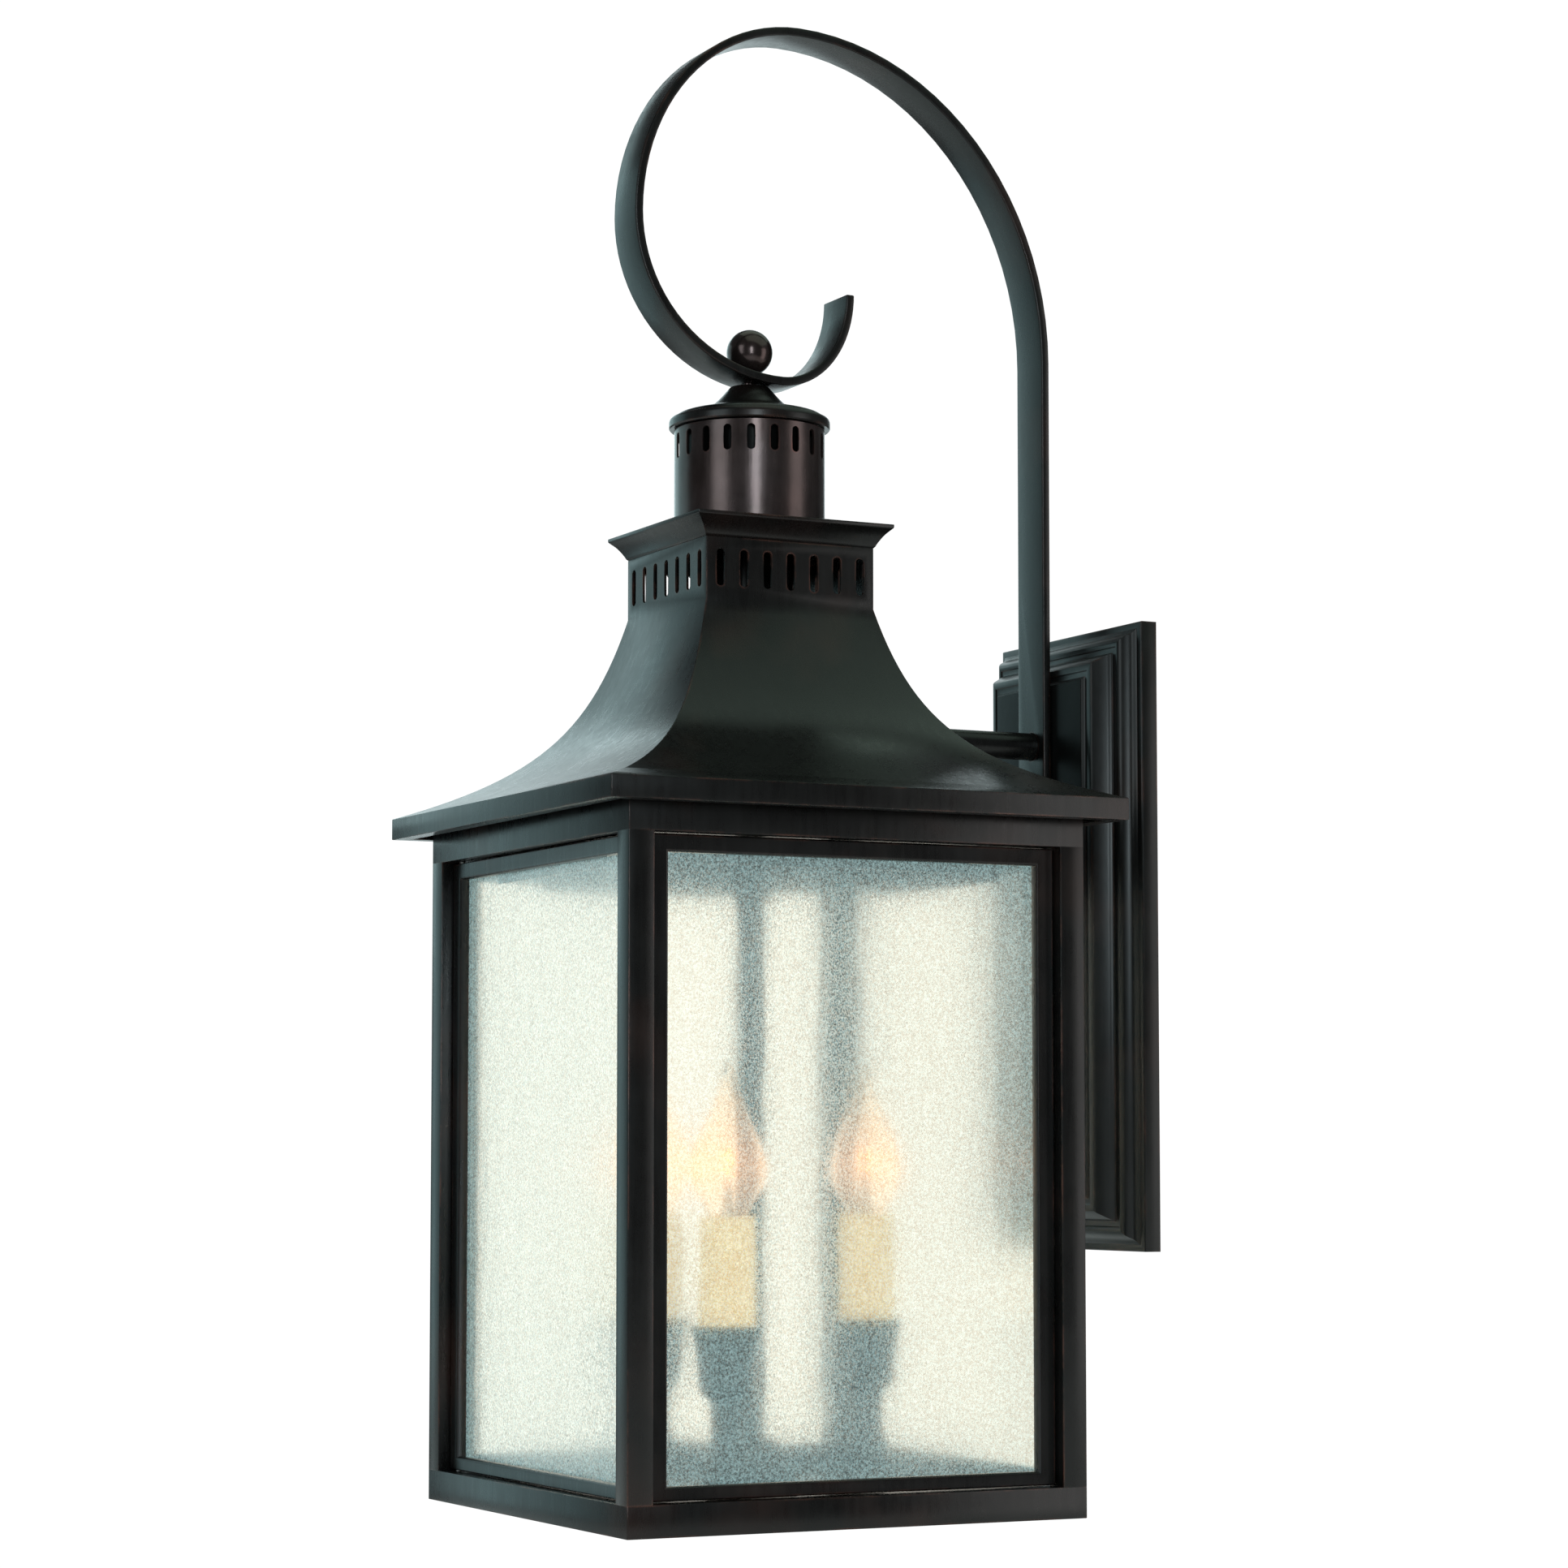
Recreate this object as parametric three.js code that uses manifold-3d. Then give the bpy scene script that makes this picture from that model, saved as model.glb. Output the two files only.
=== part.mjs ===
// Outdoor wall lantern: a square, glazed cage under a flared roof with a slotted neck and chimney.
// It hangs from a flat-bar scroll and a wireway arm on a moulded backplate, and holds three candle lamps.
// Millimetres, +Z up. The wall is the plane y = 0, the lantern stands out towards -Y, and the origin
// is the middle of the backplate's back. The front pane is a relamping door on two upright pins.
import * as THREE from "three";
import { mergeVertices } from "three/addons/utils/BufferGeometryUtils.js";
import Module from "manifold-3d";

// ---- driving dimensions ----
const GAP = 0.3; // clearance between pieces that touch
const SHEET = 1.2; // sheet metal of the roof, chimney, backplate and floor
const REACH = 181; // wall to the lantern's upright axis

const CAGE_HALF = 112; // half the width of the square cage
const CAGE_BOTTOM = -263;
const BAR = 12; // width of the posts and rails
const RAIL_TALL = 14; // bottom rails
const HEAD_TALL = 18; // top rails, partly behind the fascia
const TUBE_WALL = 1.5;
const OPENING_LOW = CAGE_BOTTOM + RAIL_TALL;
const OPENING_HIGH = 35;
const LEDGE_Z = -257; // top of the ledge that carries the floor plate
const LEDGE_DEEP = 7;

const PANE_GAP = 0.75; // slot between a pane frame and the cage
const PANE_RECESS = 5.5; // pane frame behind the cage's outer face
const PANE_LIP = 4.7; // thickness of the frame's lip in front of the glass
const PANE_STILE = 8.5;
const PANE_TOP_RAIL = 7.6;
const PANE_LOW_RAIL = 6;
const PANE_REBATE = 4; // how far the glass reaches under the lip
const GLASS = 2.8;
const DOOR_EXTRA_GAP = 0.35; // the door's added side clearance, each side

const HINGE_IN = 5; // hinge axis in from the door's edge
const HINGE_DEEP = 2.3; // hinge axis behind the door's face
const HINGE_PIN_R = 1.3;
const HINGE_PIN_LONG = 11.5;
const MAGNET_R = 3;
const MAGNET_X = 86;
const MAGNET_Y = -105;

const EAVE_HALF = 127;
const EAVE_Z = 47;
const FASCIA_TALL = 9.8;
const HEM = 8; // inward fold under the fascia
const NECK_HALF = 42.6;
const NECK_LOW = 147; // where the flare turns upright
const NECK_TOP = 175;
const NECK_SLOTS = 7; // per face
const NECK_SLOT_PITCH = 11.8;
const NECK_SLOT = { wide: 4.2, tall: 17, z: 161.5 };
const COLLAR_HALF = 49.7;
const COLLAR_TOP = 186;
const COLLAR_LIP = 1.6; // upright edge of the flared lip

const CHIMNEY_R = 35;
const CHIMNEY_TOP = 233.2;
const CHIMNEY_SLOTS = 20;
const CHIMNEY_SLOT_TURN = 11; // degrees from +X to the first slot
const CHIMNEY_SLOT = { wide: 4, tall: 12, z: 224.6 };
const CAP_R = 37.5;
const CAP_LOW = 233.5;
const CAP_RIM = 5;
const CAP_TOP = 253.6;
const BALL_R = 10.8;
const BALL_Z = 270;
const BALL_FOOT_Z = 260.4;
const STUD_R = 3;

const STRIP_WIDE = 24;
const STRIP_THICK = 4;
const STRIP_LOW = 70; // lower end of the upright leg
const PLATE_HALF_X = 64.8;
const PLATE_HALF_Z = 147.2;
const PLATE_PROUD = 26; // plateau in front of the wall
const STRIP_Y = -(PLATE_PROUD + GAP + STRIP_THICK / 2); // centreline of the upright leg

const ARM_Z = 92.8;
const ARM_R = 6.5;
const ARM_BORE_R = 5;
const ARM_FROM = -15;
const ARM_TO = -131; // end inside the roof
const PLATE_STUD_R = 2;
const PLATE_STUDS = [-44.5, 44.5]; // heights of the two studs and their cap nuts
const STRIP_SCREWS = [ARM_Z - 15, ARM_Z + 17];
const CROSSBAR = { wide: 20, tall: 112, thick: 2.6 };
// The scroll is four quarter ellipses: centre as [distance from the lantern's axis, height], half
// sizes, the turn in degrees where each starts, and its steps.
const SCROLL_ARCS = [
  { at: [20, 277], size: [REACH + STRIP_Y - 20, 145], from: 0, steps: 14 },
  { at: [20, 329], size: [82, 93], from: 90, steps: 12 },
  { at: [12, 329], size: [74, 73], from: 180, steps: 12 },
  { at: [12, 300], size: [35, 44], from: 270, steps: 9 },
];

const STEM_R = 6.5;
const STEM_BORE_R = 5;
const LEAD_R = 2;
const STEM_LOW = -259.6;
const STEM_TOP = CAP_TOP - SHEET - GAP;
const STEM_PLUG = 14; // depth of the plug that takes the ball's stud
const LEAD_SLOT = [48, 96]; // heights of the slot where the leads enter the stem
const THREAD_GAP = 0.4; // clearance in place of a thread
const BRIDGE_Z = 53.3;
const BRIDGE = { wide: 20, thick: 3 };

const CANDLES = 3;
const CANDLE_TURN = -36; // degrees from +X to the first candle
const CANDLE_RADIUS = 57.6; // from the axis
const HUB_R = 22;
const ARM_TOP_Z = -234;
const CUP_LOW = -212.7;
const SLEEVE_R = 12.7;
const SLEEVE_LOW = -186.2;
const SLEEVE_TOP = -129.6;
const SOCKET_TOP = -134;
const BULB_R = 17;
const BULB_TOP = -60;

// ---- solids ----
const wasm = await Module();
wasm.setup();

// A closed geometry as a manifold solid with its faces outward.
function solid(geometry) {
  const bare = geometry.clone();
  bare.deleteAttribute("normal");
  bare.deleteAttribute("uv");
  const merged = mergeVertices(bare, 1e-3);
  const corners = merged.index.array;
  const kept = [];
  for (let i = 0; i < corners.length; i += 3) {
    const [a, b, c] = corners.slice(i, i + 3);
    if (a !== b && b !== c && c !== a) kept.push(a, b, c);
  }
  const vertProperties = merged.attributes.position.array;
  const build = (triVerts) =>
    new wasm.Manifold(new wasm.Mesh({ numProp: 3, vertProperties, triVerts: new Uint32Array(triVerts) }));
  const made = build(kept);
  return made.volume() < 0 ? build(kept.reverse()) : made;
}

function box(x0, x1, y0, y1, z0, z1) {
  const geometry = new THREE.BoxGeometry(x1 - x0, y1 - y0, z1 - z0);
  return solid(geometry.translate((x0 + x1) / 2, (y0 + y1) / 2, (z0 + z1) / 2));
}

// A round bar between two heights, standing at (x, y).
function post(r, z0, z1, x = 0, y = 0, sides = 24) {
  const geometry = new THREE.CylinderGeometry(r, r, z1 - z0, sides).rotateX(Math.PI / 2);
  return solid(geometry.translate(x, y, (z0 + z1) / 2));
}

// A round bar along Y.
function rod(r, y0, y1, x, z, sides = 24) {
  const geometry = new THREE.CylinderGeometry(r, r, y1 - y0, sides);
  return solid(geometry.translate(x, (y0 + y1) / 2, z));
}

// A turned piece about +Z from [radius, height] points. A profile off the axis closes on itself.
function turned(points, sides) {
  const offAxis = points[0][0] > 0;
  const profile = (offAxis ? [...points, points[0]] : points).map(([r, z]) => new THREE.Vector2(r, z));
  return solid(new THREE.LatheGeometry(profile, sides).rotateX(Math.PI / 2));
}

// The same with a square plan: the first number of each point is half the square's side.
function squared(points) {
  const offAxis = points[0][0] > 0;
  const closed = offAxis ? [...points, points[0]] : points;
  const profile = closed.map(([half, z]) => new THREE.Vector2(half * Math.SQRT2, z));
  return solid(new THREE.LatheGeometry(profile, 4, Math.PI / 4).rotateX(Math.PI / 2));
}

// A prism along X with a round-ended upright section, centred on x = 0.
function slotCutter({ wide, tall, z }, length) {
  const r = wide / 2;
  const reach = tall / 2 - r;
  const outline = new THREE.Shape();
  outline.absarc(0, reach, r, 0, Math.PI);
  outline.absarc(0, -reach, r, Math.PI, 2 * Math.PI);
  const options = { depth: length, bevelEnabled: false, curveSegments: 3 };
  const geometry = new THREE.ExtrudeGeometry(outline, options).translate(0, 0, -length / 2);
  geometry.rotateX(Math.PI / 2).rotateZ(Math.PI / 2);
  return solid(geometry.translate(0, 0, z));
}

function hexNut(across, thick, boreR) {
  const cornerR = across / Math.sqrt(3);
  return post(cornerR, 0, thick, 0, 0, 6).subtract(post(boreR, -1, thick + 1));
}

// ---- the scene graph ----
function finish(color, roughness, metalness, more = {}) {
  return new THREE.MeshStandardMaterial({ color, roughness, metalness, ...more });
}
const bronze = finish(0x1d2423, 0.42, 0.75);
const seededGlass = finish(0xe9eddf, 0.12, 0, { transparent: true, opacity: 0.4 });
const candleCream = finish(0xf0d9a0, 0.6, 0);
const zinc = finish(0xa9aca8, 0.4, 0.9);
const brass = finish(0xb98d45, 0.35, 0.9);
const phenolic = finish(0x1b1a18, 0.6, 0);
const bulbGlass = finish(0xffe3b8, 0.08, 0, { transparent: true, opacity: 0.4 });
const leadCover = finish(0x161616, 0.7, 0);

const part = new THREE.Group();
const lantern = new THREE.Group();
lantern.position.y = -REACH;
part.add(lantern);

function add(group, name, made, material) {
  const { vertProperties, triVerts } = made.getMesh();
  const geometry = new THREE.BufferGeometry();
  geometry.setAttribute("position", new THREE.BufferAttribute(vertProperties, 3));
  geometry.setIndex(new THREE.BufferAttribute(triVerts, 1));
  geometry.computeVertexNormals();
  const mesh = new THREE.Mesh(geometry, material);
  mesh.name = name;
  group.add(mesh);
  return mesh;
}

// ---- wall side: backplate, crossbar, scroll and arm ----
// Stamped plate. Its moulding steps in from the rim to a flat plateau, and it is hollow behind.
function backplate() {
  const outside = [
    [0, PLATE_PROUD], [39, PLATE_PROUD], [39.6, 24.4], [41.6, 24.2], [43, 25], [45.6, 24.6], [48.2, 22.8],
    [49.6, 20], [50.2, 16.6], [53.4, 15.6], [55.6, 15.9], [57.4, 14.4], [58.6, 11.4], [61.2, 9],
    [PLATE_HALF_X, 8.5], [PLATE_HALF_X, 0],
  ];
  const inside = [
    [63.4, 0], [63.4, 7.1], [60.4, 7.5], [57, 10.6], [54.4, 13.6], [49, 14.6], [46.6, 20.6], [43.6, 22.8],
    [38.4, 22.6], [37.6, PLATE_PROUD - SHEET], [0, PLATE_PROUD - SHEET],
  ];
  const profile = [...outside, ...inside].map(([half, y]) => new THREE.Vector2(half * Math.SQRT2, -y));
  const geometry = new THREE.LatheGeometry(profile, 4, Math.PI / 4);
  const corner = geometry.attributes.position;
  const stretch = PLATE_HALF_Z - PLATE_HALF_X;
  for (let i = 0; i < corner.count; i++) {
    if (Math.abs(corner.getZ(i)) > 1) corner.setZ(i, corner.getZ(i) + Math.sign(corner.getZ(i)) * stretch);
  }
  let plate = solid(geometry).subtract(rod(ARM_R + GAP, -40, -10, 0, ARM_Z));
  for (const z of [...PLATE_STUDS, ...STRIP_SCREWS]) {
    plate = plate.subtract(rod(PLATE_STUD_R + GAP, -40, -10, 0, z, 12));
  }
  return plate;
}

function crossbar() {
  const { wide, tall, thick } = CROSSBAR;
  let bar = box(-wide / 2, wide / 2, -thick, 0, -tall / 2, tall / 2);
  for (const z of PLATE_STUDS) bar = bar.subtract(rod(PLATE_STUD_R + GAP, -10, 10, 0, z, 12));
  for (const z of [-26, 26]) bar = bar.subtract(box(-2.2, 2.2, -10, 10, z - 6, z + 6));
  return bar.subtract(rod(1.8, -10, 10, 6, 12, 12));
}

// The scroll's centreline as [distance from the lantern's axis, height], from the leg to the curl's tip.
function scrollLine() {
  const line = [new THREE.Vector2(REACH + STRIP_Y, STRIP_LOW)];
  for (const { at, size, from, steps } of SCROLL_ARCS) {
    for (let i = line.length > 1 ? 1 : 0; i <= steps; i++) {
      const turn = THREE.MathUtils.degToRad(from + (90 * i) / steps);
      line.push(new THREE.Vector2(at[0] + size[0] * Math.cos(turn), at[1] + size[1] * Math.sin(turn)));
    }
  }
  return line;
}

function scrollStrip() {
  const line = scrollLine();
  const sides = [[], []];
  line.forEach((point, i) => {
    const before = line[Math.max(i - 1, 0)];
    const after = line[Math.min(i + 1, line.length - 1)];
    const along = after.clone().sub(before).normalize();
    const across = new THREE.Vector2(-along.y, along.x).multiplyScalar(STRIP_THICK / 2);
    sides[0].push(point.clone().add(across));
    sides[1].push(point.clone().sub(across));
  });
  const outline = new THREE.Shape([...sides[0], ...sides[1].reverse()]);
  const geometry = new THREE.ExtrudeGeometry(outline, { depth: STRIP_WIDE, bevelEnabled: false });
  // The outline's plane is YZ, and the extrusion runs along X.
  geometry.rotateX(Math.PI / 2).rotateZ(Math.PI / 2).translate(-STRIP_WIDE / 2, -REACH, 0);
  let strip = solid(geometry).subtract(post(STUD_R + THREAD_GAP, 240, 280, 0, -REACH, 16));
  strip = strip.subtract(rod(ARM_R + GAP, -40, -10, 0, ARM_Z));
  const screwEnd = STRIP_Y - STRIP_THICK / 2 + 1;
  for (const z of STRIP_SCREWS) strip = strip.subtract(rod(PLATE_STUD_R + GAP, screwEnd, -10, 0, z, 12));
  return strip;
}

// A pan-head screw along Y, its head towards the wall.
function panScrew(shankTo, headFrom, z) {
  return rod(PLATE_STUD_R, shankTo, headFrom, 0, z, 12).add(rod(4, headFrom, headFrom + 2.6, 0, z, 16));
}

function capNut() {
  const bore = PLATE_STUD_R + GAP;
  const outside = [[0, 8.4], [1.6, 8.2], [3.4, 7.4], [5, 5.6], [5.6, 3.6], [5.6, 0]];
  return turned([...outside, [bore, 0], [bore, 6], [0, 7.2]], 16);
}

function supportArm() {
  return rod(ARM_R, ARM_TO, ARM_FROM, 0, ARM_Z).subtract(rod(ARM_BORE_R, ARM_TO - 1, ARM_FROM + 1, 0, ARM_Z));
}

function wallSide() {
  add(part, "backplate", backplate(), bronze);
  add(part, "mounting_crossbar", crossbar(), zinc);
  add(part, "scroll_strip", scrollStrip(), bronze);
  add(part, "support_arm", supportArm(), bronze);
  for (const z of PLATE_STUDS) {
    const end = z < 0 ? "lower" : "upper";
    add(part, `plate_stud_${end}`, rod(PLATE_STUD_R, -PLATE_PROUD - 5.4, -GAP, 0, z, 12), zinc);
    const nut = add(part, `cap_nut_${end}`, capNut(), bronze);
    nut.rotation.x = Math.PI / 2;
    nut.position.set(0, -PLATE_PROUD - GAP, z);
  }
  STRIP_SCREWS.forEach((z, i) => {
    const screw = panScrew(STRIP_Y - STRIP_THICK / 2 + 1 + GAP, -PLATE_PROUD + SHEET + GAP, z);
    add(part, `strip_screw_${i + 1}`, screw, zinc);
  });
  const plateNut = add(part, "arm_nut_plate", hexNut(18, 5, ARM_R + GAP), zinc);
  plateNut.rotation.x = -Math.PI / 2;
  plateNut.position.set(0, -PLATE_PROUD + SHEET + GAP, ARM_Z);
  const roofNut = add(part, "arm_nut_roof", hexNut(18, 5, ARM_R + GAP), zinc);
  roofNut.rotation.x = -Math.PI / 2;
  roofNut.position.set(0, ARM_TO + 0.5, ARM_Z);
}

// ---- cage: bottom and top frames, posts, floor ----
function bottomFrame() {
  const outer = CAGE_HALF;
  const inner = CAGE_HALF - BAR;
  const wall = TUBE_WALL;
  const channel = [
    [outer, CAGE_BOTTOM], [outer, OPENING_LOW], [inner, OPENING_LOW], [inner, LEDGE_Z],
    [inner - LEDGE_DEEP, LEDGE_Z], [inner - LEDGE_DEEP, LEDGE_Z - wall], [inner + wall, LEDGE_Z - wall],
    [inner + wall, OPENING_LOW - wall], [outer - wall, OPENING_LOW - wall], [outer - wall, CAGE_BOTTOM],
  ];
  const pinHole = post(HINGE_PIN_R + GAP, OPENING_LOW - 5, OPENING_LOW + 5, HINGE_X, HINGE_Y, 12);
  const magnetHole = post(MAGNET_R + GAP, OPENING_LOW - 5, OPENING_LOW + 5, MAGNET_X, MAGNET_Y, 16);
  return squared(channel).subtract(pinHole).subtract(magnetHole);
}

function topFrame() {
  const outer = CAGE_HALF;
  const inner = CAGE_HALF - BAR;
  const wall = TUBE_WALL;
  const top = OPENING_HIGH + HEAD_TALL;
  const channel = [
    [outer, OPENING_HIGH], [outer, top], [outer - wall, top], [outer - wall, OPENING_HIGH + wall],
    [inner + wall, OPENING_HIGH + wall], [inner + wall, top], [inner, top], [inner, OPENING_HIGH],
  ];
  const pinHole = post(HINGE_PIN_R + GAP, OPENING_HIGH - 5, OPENING_HIGH + 5, HINGE_X, HINGE_Y, 12);
  return squared(channel).subtract(pinHole);
}

function cornerPost() {
  const half = BAR / 2;
  const bore = half - TUBE_WALL;
  const low = OPENING_LOW + GAP;
  const high = OPENING_HIGH - GAP;
  return box(-half, half, -half, half, low, high).subtract(box(-bore, bore, -bore, bore, low - 1, high + 1));
}

function floorPlate() {
  const half = CAGE_HALF - BAR - GAP;
  const low = LEDGE_Z + GAP;
  const hole = post(STEM_R + GAP, low - 1, low + SHEET + 1);
  return box(-half, half, -half, half, low, low + SHEET).subtract(hole);
}

function cage() {
  add(lantern, "bottom_frame", bottomFrame(), bronze);
  add(lantern, "top_frame", topFrame(), bronze);
  const centre = CAGE_HALF - BAR / 2;
  const corners = { front_left: [-1, -1], front_right: [1, -1], rear_left: [-1, 1], rear_right: [1, 1] };
  for (const [place, [x, y]] of Object.entries(corners)) {
    add(lantern, `post_${place}`, cornerPost(), bronze).position.set(x * centre, y * centre, 0);
  }
  add(lantern, "floor_plate", floorPlate(), bronze);
}

// ---- panes: three fixed and the front one in the door ----
const PANE_LOW = OPENING_LOW + PANE_GAP;
const PANE_HIGH = OPENING_HIGH - PANE_GAP;
const GLASS_LOW = PANE_LOW + PANE_LOW_RAIL - PANE_REBATE;
const GLASS_HIGH = PANE_HIGH - PANE_TOP_RAIL + PANE_REBATE;
const FACE_Y = -(CAGE_HALF - PANE_RECESS); // a pane frame's face, on the front side
const LIP_BACK_Y = FACE_Y + PANE_LIP;
const REAR_Y = -(CAGE_HALF - BAR - 0.4); // a pane frame's back
const PANE_HALF = CAGE_HALF - BAR - PANE_GAP;
const HINGE_X = -(PANE_HALF - DOOR_EXTRA_GAP - HINGE_IN);
const HINGE_Y = FACE_Y + HINGE_DEEP;
const STRIKE_Y = MAGNET_Y + 1.4; // the strike plate's middle, let into the door's bottom rail

// A pane frame in the front side's place: a lip in front of the glass and a rim round it.
function paneFrame(half) {
  const opening = PANE_HALF - PANE_STILE;
  const low = PANE_LOW + PANE_LOW_RAIL;
  const high = PANE_HIGH - PANE_TOP_RAIL;
  const seat = opening + PANE_REBATE;
  return box(-half, half, FACE_Y, REAR_Y, PANE_LOW, PANE_HIGH)
    .subtract(box(-opening, opening, FACE_Y - 1, REAR_Y + 1, low, high))
    .subtract(box(-seat, seat, LIP_BACK_Y, REAR_Y + 1, GLASS_LOW, GLASS_HIGH));
}

function pane() {
  const half = PANE_HALF - PANE_STILE + PANE_REBATE - GAP;
  const front = LIP_BACK_Y + GAP;
  return box(-half, half, front, front + GLASS, GLASS_LOW + GAP, GLASS_HIGH - GAP);
}

// A strip on the back of the top rail, cranked to hold the glass in its rebate.
function glassRetainer() {
  const front = LIP_BACK_Y + 2 * GAP + GLASS;
  const foot = box(-60, 60, REAR_Y + GAP, front + SHEET, GLASS_HIGH + GAP, PANE_HIGH - 1);
  return foot.add(box(-60, 60, front, front + SHEET, GLASS_HIGH - 8, GLASS_HIGH + GAP + 0.5));
}

function doorFrame() {
  const pocketY = [STRIKE_Y - 1.6, STRIKE_Y + 1.6];
  const strikePocket = box(MAGNET_X - 7, MAGNET_X + 7, ...pocketY, PANE_LOW - 1, PANE_LOW + 1.8);
  let frame = paneFrame(PANE_HALF - DOOR_EXTRA_GAP).subtract(strikePocket);
  for (const [low, high] of [[PANE_LOW - 1, PANE_LOW + 5.2], [PANE_HIGH - 7.2, PANE_HIGH + 1]]) {
    frame = frame.subtract(post(HINGE_PIN_R + GAP, low, high, HINGE_X, HINGE_Y, 12));
  }
  return frame;
}

function panes() {
  const sides = { right: 90, rear: 180, left: 270 };
  for (const [side, turn] of Object.entries(sides)) {
    const group = new THREE.Group();
    group.rotation.z = THREE.MathUtils.degToRad(turn);
    lantern.add(group);
    add(group, `pane_frame_${side}`, paneFrame(PANE_HALF), bronze);
    add(group, `glass_${side}`, pane(), seededGlass);
    add(group, `glass_retainer_${side}`, glassRetainer(), bronze);
  }
  add(lantern, "door_frame", doorFrame(), bronze);
  add(lantern, "glass_door", pane(), seededGlass);
  add(lantern, "glass_retainer_door", glassRetainer(), bronze);
  const strikeY = [STRIKE_Y - 1.3, STRIKE_Y + 1.3];
  const strike = box(MAGNET_X - 6.7, MAGNET_X + 6.7, ...strikeY, PANE_LOW + 0.1, PANE_LOW + 1.5);
  add(lantern, "door_strike", strike, zinc);
  const magnet = post(MAGNET_R, OPENING_LOW - 7, OPENING_LOW - 0.1, MAGNET_X, MAGNET_Y, 20);
  add(lantern, "door_magnet", magnet, zinc);
  const lowPin = [PANE_LOW + 4.9 - HINGE_PIN_LONG, PANE_LOW + 4.9];
  const highPin = [PANE_HIGH - 6.9, PANE_HIGH - 6.9 + HINGE_PIN_LONG];
  add(lantern, "hinge_pin_lower", post(HINGE_PIN_R, ...lowPin, HINGE_X, HINGE_Y, 12), zinc);
  add(lantern, "hinge_pin_upper", post(HINGE_PIN_R, ...highPin, HINGE_X, HINGE_Y, 12), zinc);
}

// ---- roof, chimney and finial ----
// The flare runs up from the fascia as one concave curve that ends upright at the neck.
function flare(inset) {
  const curve = new THREE.CubicBezierCurve(
    new THREE.Vector2(EAVE_HALF, EAVE_Z + FASCIA_TALL),
    new THREE.Vector2(EAVE_HALF - 52, EAVE_Z + FASCIA_TALL + 17),
    new THREE.Vector2(NECK_HALF + 13.5, 94),
    new THREE.Vector2(NECK_HALF, NECK_LOW),
  );
  return curve.getPoints(12).map((point, i) => {
    const along = curve.getTangent(i / 12);
    return [point.x + along.y * -inset, point.y + along.x * inset];
  });
}

function roofShell() {
  const outside = [[EAVE_HALF, EAVE_Z], ...flare(0), [NECK_HALF, NECK_TOP]];
  const inner = flare(SHEET).filter(([half]) => half < EAVE_HALF - 2 * SHEET).reverse();
  const inside = [
    [NECK_HALF - SHEET, NECK_TOP], ...inner, [EAVE_HALF - SHEET, EAVE_Z + FASCIA_TALL - 0.8],
    [EAVE_HALF - SHEET, EAVE_Z + SHEET], [EAVE_HALF - HEM, EAVE_Z + SHEET], [EAVE_HALF - HEM, EAVE_Z],
  ];
  let roof = squared([...outside, ...inside]);
  const cutter = slotCutter(NECK_SLOT, 2 * NECK_HALF + 10);
  for (let i = 0; i < NECK_SLOTS; i++) {
    const along = (i - (NECK_SLOTS - 1) / 2) * NECK_SLOT_PITCH;
    roof = roof.subtract(cutter.translate([0, along, 0]));
    roof = roof.subtract(cutter.rotate([0, 0, 90]).translate([along, 0, 0]));
  }
  return roof.subtract(rod(ARM_R + GAP, 30, EAVE_HALF, 0, ARM_Z));
}

function roofCollar() {
  const low = NECK_TOP + GAP;
  const brim = COLLAR_TOP - COLLAR_LIP;
  const profile = [
    [0, COLLAR_TOP - SHEET], [COLLAR_HALF - 2.2, COLLAR_TOP - SHEET], [44.3, low + 5.8], [41.6, low + 2.4],
    [NECK_HALF - SHEET, low], [NECK_HALF, low], [44.4, low + 2.9], [46.7, low + 6.2], [COLLAR_HALF, brim],
    [COLLAR_HALF, COLLAR_TOP], [0, COLLAR_TOP],
  ];
  return squared(profile).subtract(post(CHIMNEY_R - 4, COLLAR_TOP - 5, COLLAR_TOP + 5, 0, 0, 32));
}

function chimney() {
  const low = COLLAR_TOP + GAP;
  const bore = CHIMNEY_R - 1;
  const profile = [
    [CHIMNEY_R, low], [CHIMNEY_R, CHIMNEY_TOP], [bore, CHIMNEY_TOP], [bore, low + SHEET],
    [bore - 3, low + SHEET], [bore - 3, low],
  ];
  let pipe = turned(profile, 40);
  const cutter = slotCutter(CHIMNEY_SLOT, 2 * CHIMNEY_R + 10);
  for (let i = 0; i < CHIMNEY_SLOTS / 2; i++) {
    pipe = pipe.subtract(cutter.rotate([0, 0, CHIMNEY_SLOT_TURN + (i * 360) / CHIMNEY_SLOTS]));
  }
  return pipe;
}

function chimneyCap() {
  const rimTop = CAP_LOW + CAP_RIM;
  const hole = STUD_R + THREAD_GAP;
  const outside = [
    [33, CAP_LOW], [CAP_R - 0.7, CAP_LOW], [CAP_R, CAP_LOW + 0.8], [CAP_R, rimTop - 0.9],
    [CAP_R - 0.9, rimTop], [33, 240.4], [26, 242.2], [19.6, 243.8], [17.2, 245], [13.6, 248.4], [10.8, 251.6],
    [9, CAP_TOP], [hole, CAP_TOP],
  ];
  const inside = [
    [hole, CAP_TOP - SHEET], [8.6, CAP_TOP - SHEET], [12.6, 247.7], [16.4, 243.8], [24, 241.2], [33, 238.6],
  ];
  return turned([...outside, ...inside], 28);
}

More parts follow.
